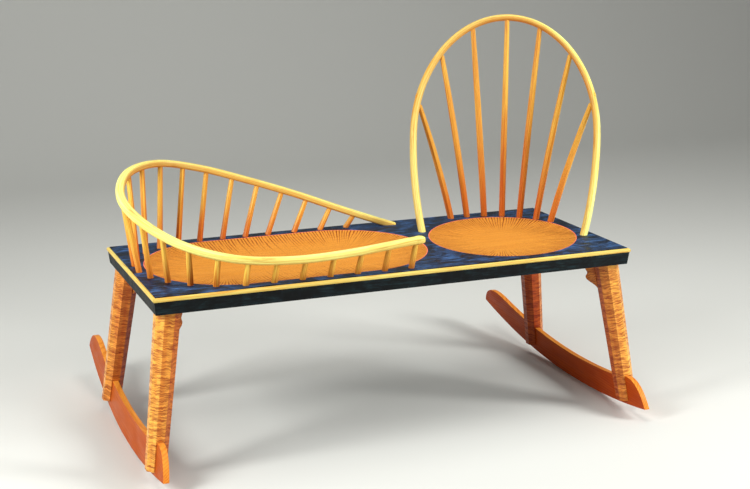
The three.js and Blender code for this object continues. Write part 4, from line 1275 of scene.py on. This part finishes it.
class BENCH_OT_cradle_spindles(bpy.types.Operator):
    """Make the faceted spindles under the cradle rail"""

    bl_idname = "bench.cradle_spindles"
    bl_label = "Cradle Spindles"

    def execute(self, context):
        tones = flat_tones(spread=0.3, painted_lighting_strength=0.24)
        worked_pieces(
            "", "spoke_", CRADLE_SPINDLES, "golden hickory", arris=0.0007, tone_of=tones
        )
        return {"FINISHED"}


class BENCH_OT_legs(bpy.types.Operator):
    """Make the four splayed legs with their forked feet"""

    bl_idname = "bench.legs"
    bl_label = "Legs"

    def execute(self, context):
        tones = flat_tones(spread=0.08, painted_lighting_strength=0.5)
        worked_pieces("leg_", "post_", PLACES, "curly maple", arris=0.0014, tone_of=tones)
        return {"FINISHED"}


class BENCH_OT_brackets(bpy.types.Operator):
    """Make the knee brackets between the legs and the plank"""

    bl_idname = "bench.brackets"
    bl_label = "Knee Brackets"

    def execute(self, context):
        tones = flat_tones(spread=0.08, painted_lighting_strength=0.4)
        worked_pieces(
            "knee_bracket_", "knee_", PLACES, "curly maple", arris=0.0012, tone_of=tones
        )
        return {"FINISHED"}


class BENCH_OT_rockers(bpy.types.Operator):
    """Make the two curved rockers"""

    bl_idname = "bench.rockers"
    bl_label = "Rockers"

    def execute(self, context):
        worked_pieces(
            "rocker_", "runner_", ENDS, "rocker maple", arris=0.0015, tone_of=rocker_painted_tones
        )
        return {"FINISHED"}


class BENCH_OT_fastenings(bpy.types.Operator):
    """Make the wedges in the bow's feet and the dowel under the rail"""

    bl_idname = "bench.fastenings"
    bl_label = "Wedges and Dowel"

    def execute(self, context):
        nodes = ("hoop_wedge_left", "hoop_wedge_right", "cradle_rail_dowel")
        worked_pieces("", "fast_", nodes, "golden hickory")
        return {"FINISHED"}


class BENCH_OT_studio(bpy.types.Operator):
    """Set up the pale floor, the soft lamps and the camera"""

    bl_idname = "bench.studio"
    bl_label = "Studio"

    def execute(self, context):
        context.scene.view_settings.view_transform = "Standard"
        studio_stage()
        studio_lamps()
        studio_camera()
        return {"FINISHED"}


OPERATORS = [
    BENCH_OT_studio,
    BENCH_OT_plank,
    BENCH_OT_edge_strips,
    BENCH_OT_bow,
    BENCH_OT_back_spindles,
    BENCH_OT_rail,
    BENCH_OT_cradle_spindles,
    BENCH_OT_legs,
    BENCH_OT_brackets,
    BENCH_OT_rockers,
    BENCH_OT_fastenings,
]


class BENCH_PT_panel(bpy.types.Panel):
    """Sizes, colours and building steps of the bench"""

    bl_idname = "BENCH_PT_panel"
    bl_label = "Rocking Bench"
    bl_space_type = "VIEW_3D"
    bl_region_type = "UI"
    bl_category = "Bench"

    def draw(self, context):
        layout = self.layout
        for operator in OPERATORS:
            layout.operator(operator.bl_idname)
        for name, group in SETTINGS.items():
            box = layout.box()
            box.label(text=group.__doc__)
            for key in group.__annotations__:
                box.prop(getattr(context.scene, name), key)


CLASSES = [*SETTINGS.values(), *OPERATORS, BENCH_PT_panel]


def register():
    for item in CLASSES:
        bpy.utils.register_class(item)
    for name, group in SETTINGS.items():
        setattr(bpy.types.Scene, name, bpy.props.PointerProperty(type=group))


def unregister():
    for name in SETTINGS:
        delattr(bpy.types.Scene, name)
    for item in reversed(CLASSES):
        bpy.utils.unregister_class(item)


def main():
    register()
    for operator in OPERATORS:
        group, name = operator.bl_idname.split(".")
        getattr(getattr(bpy.ops, group), name)()


if __name__ == "__main__":
    main()
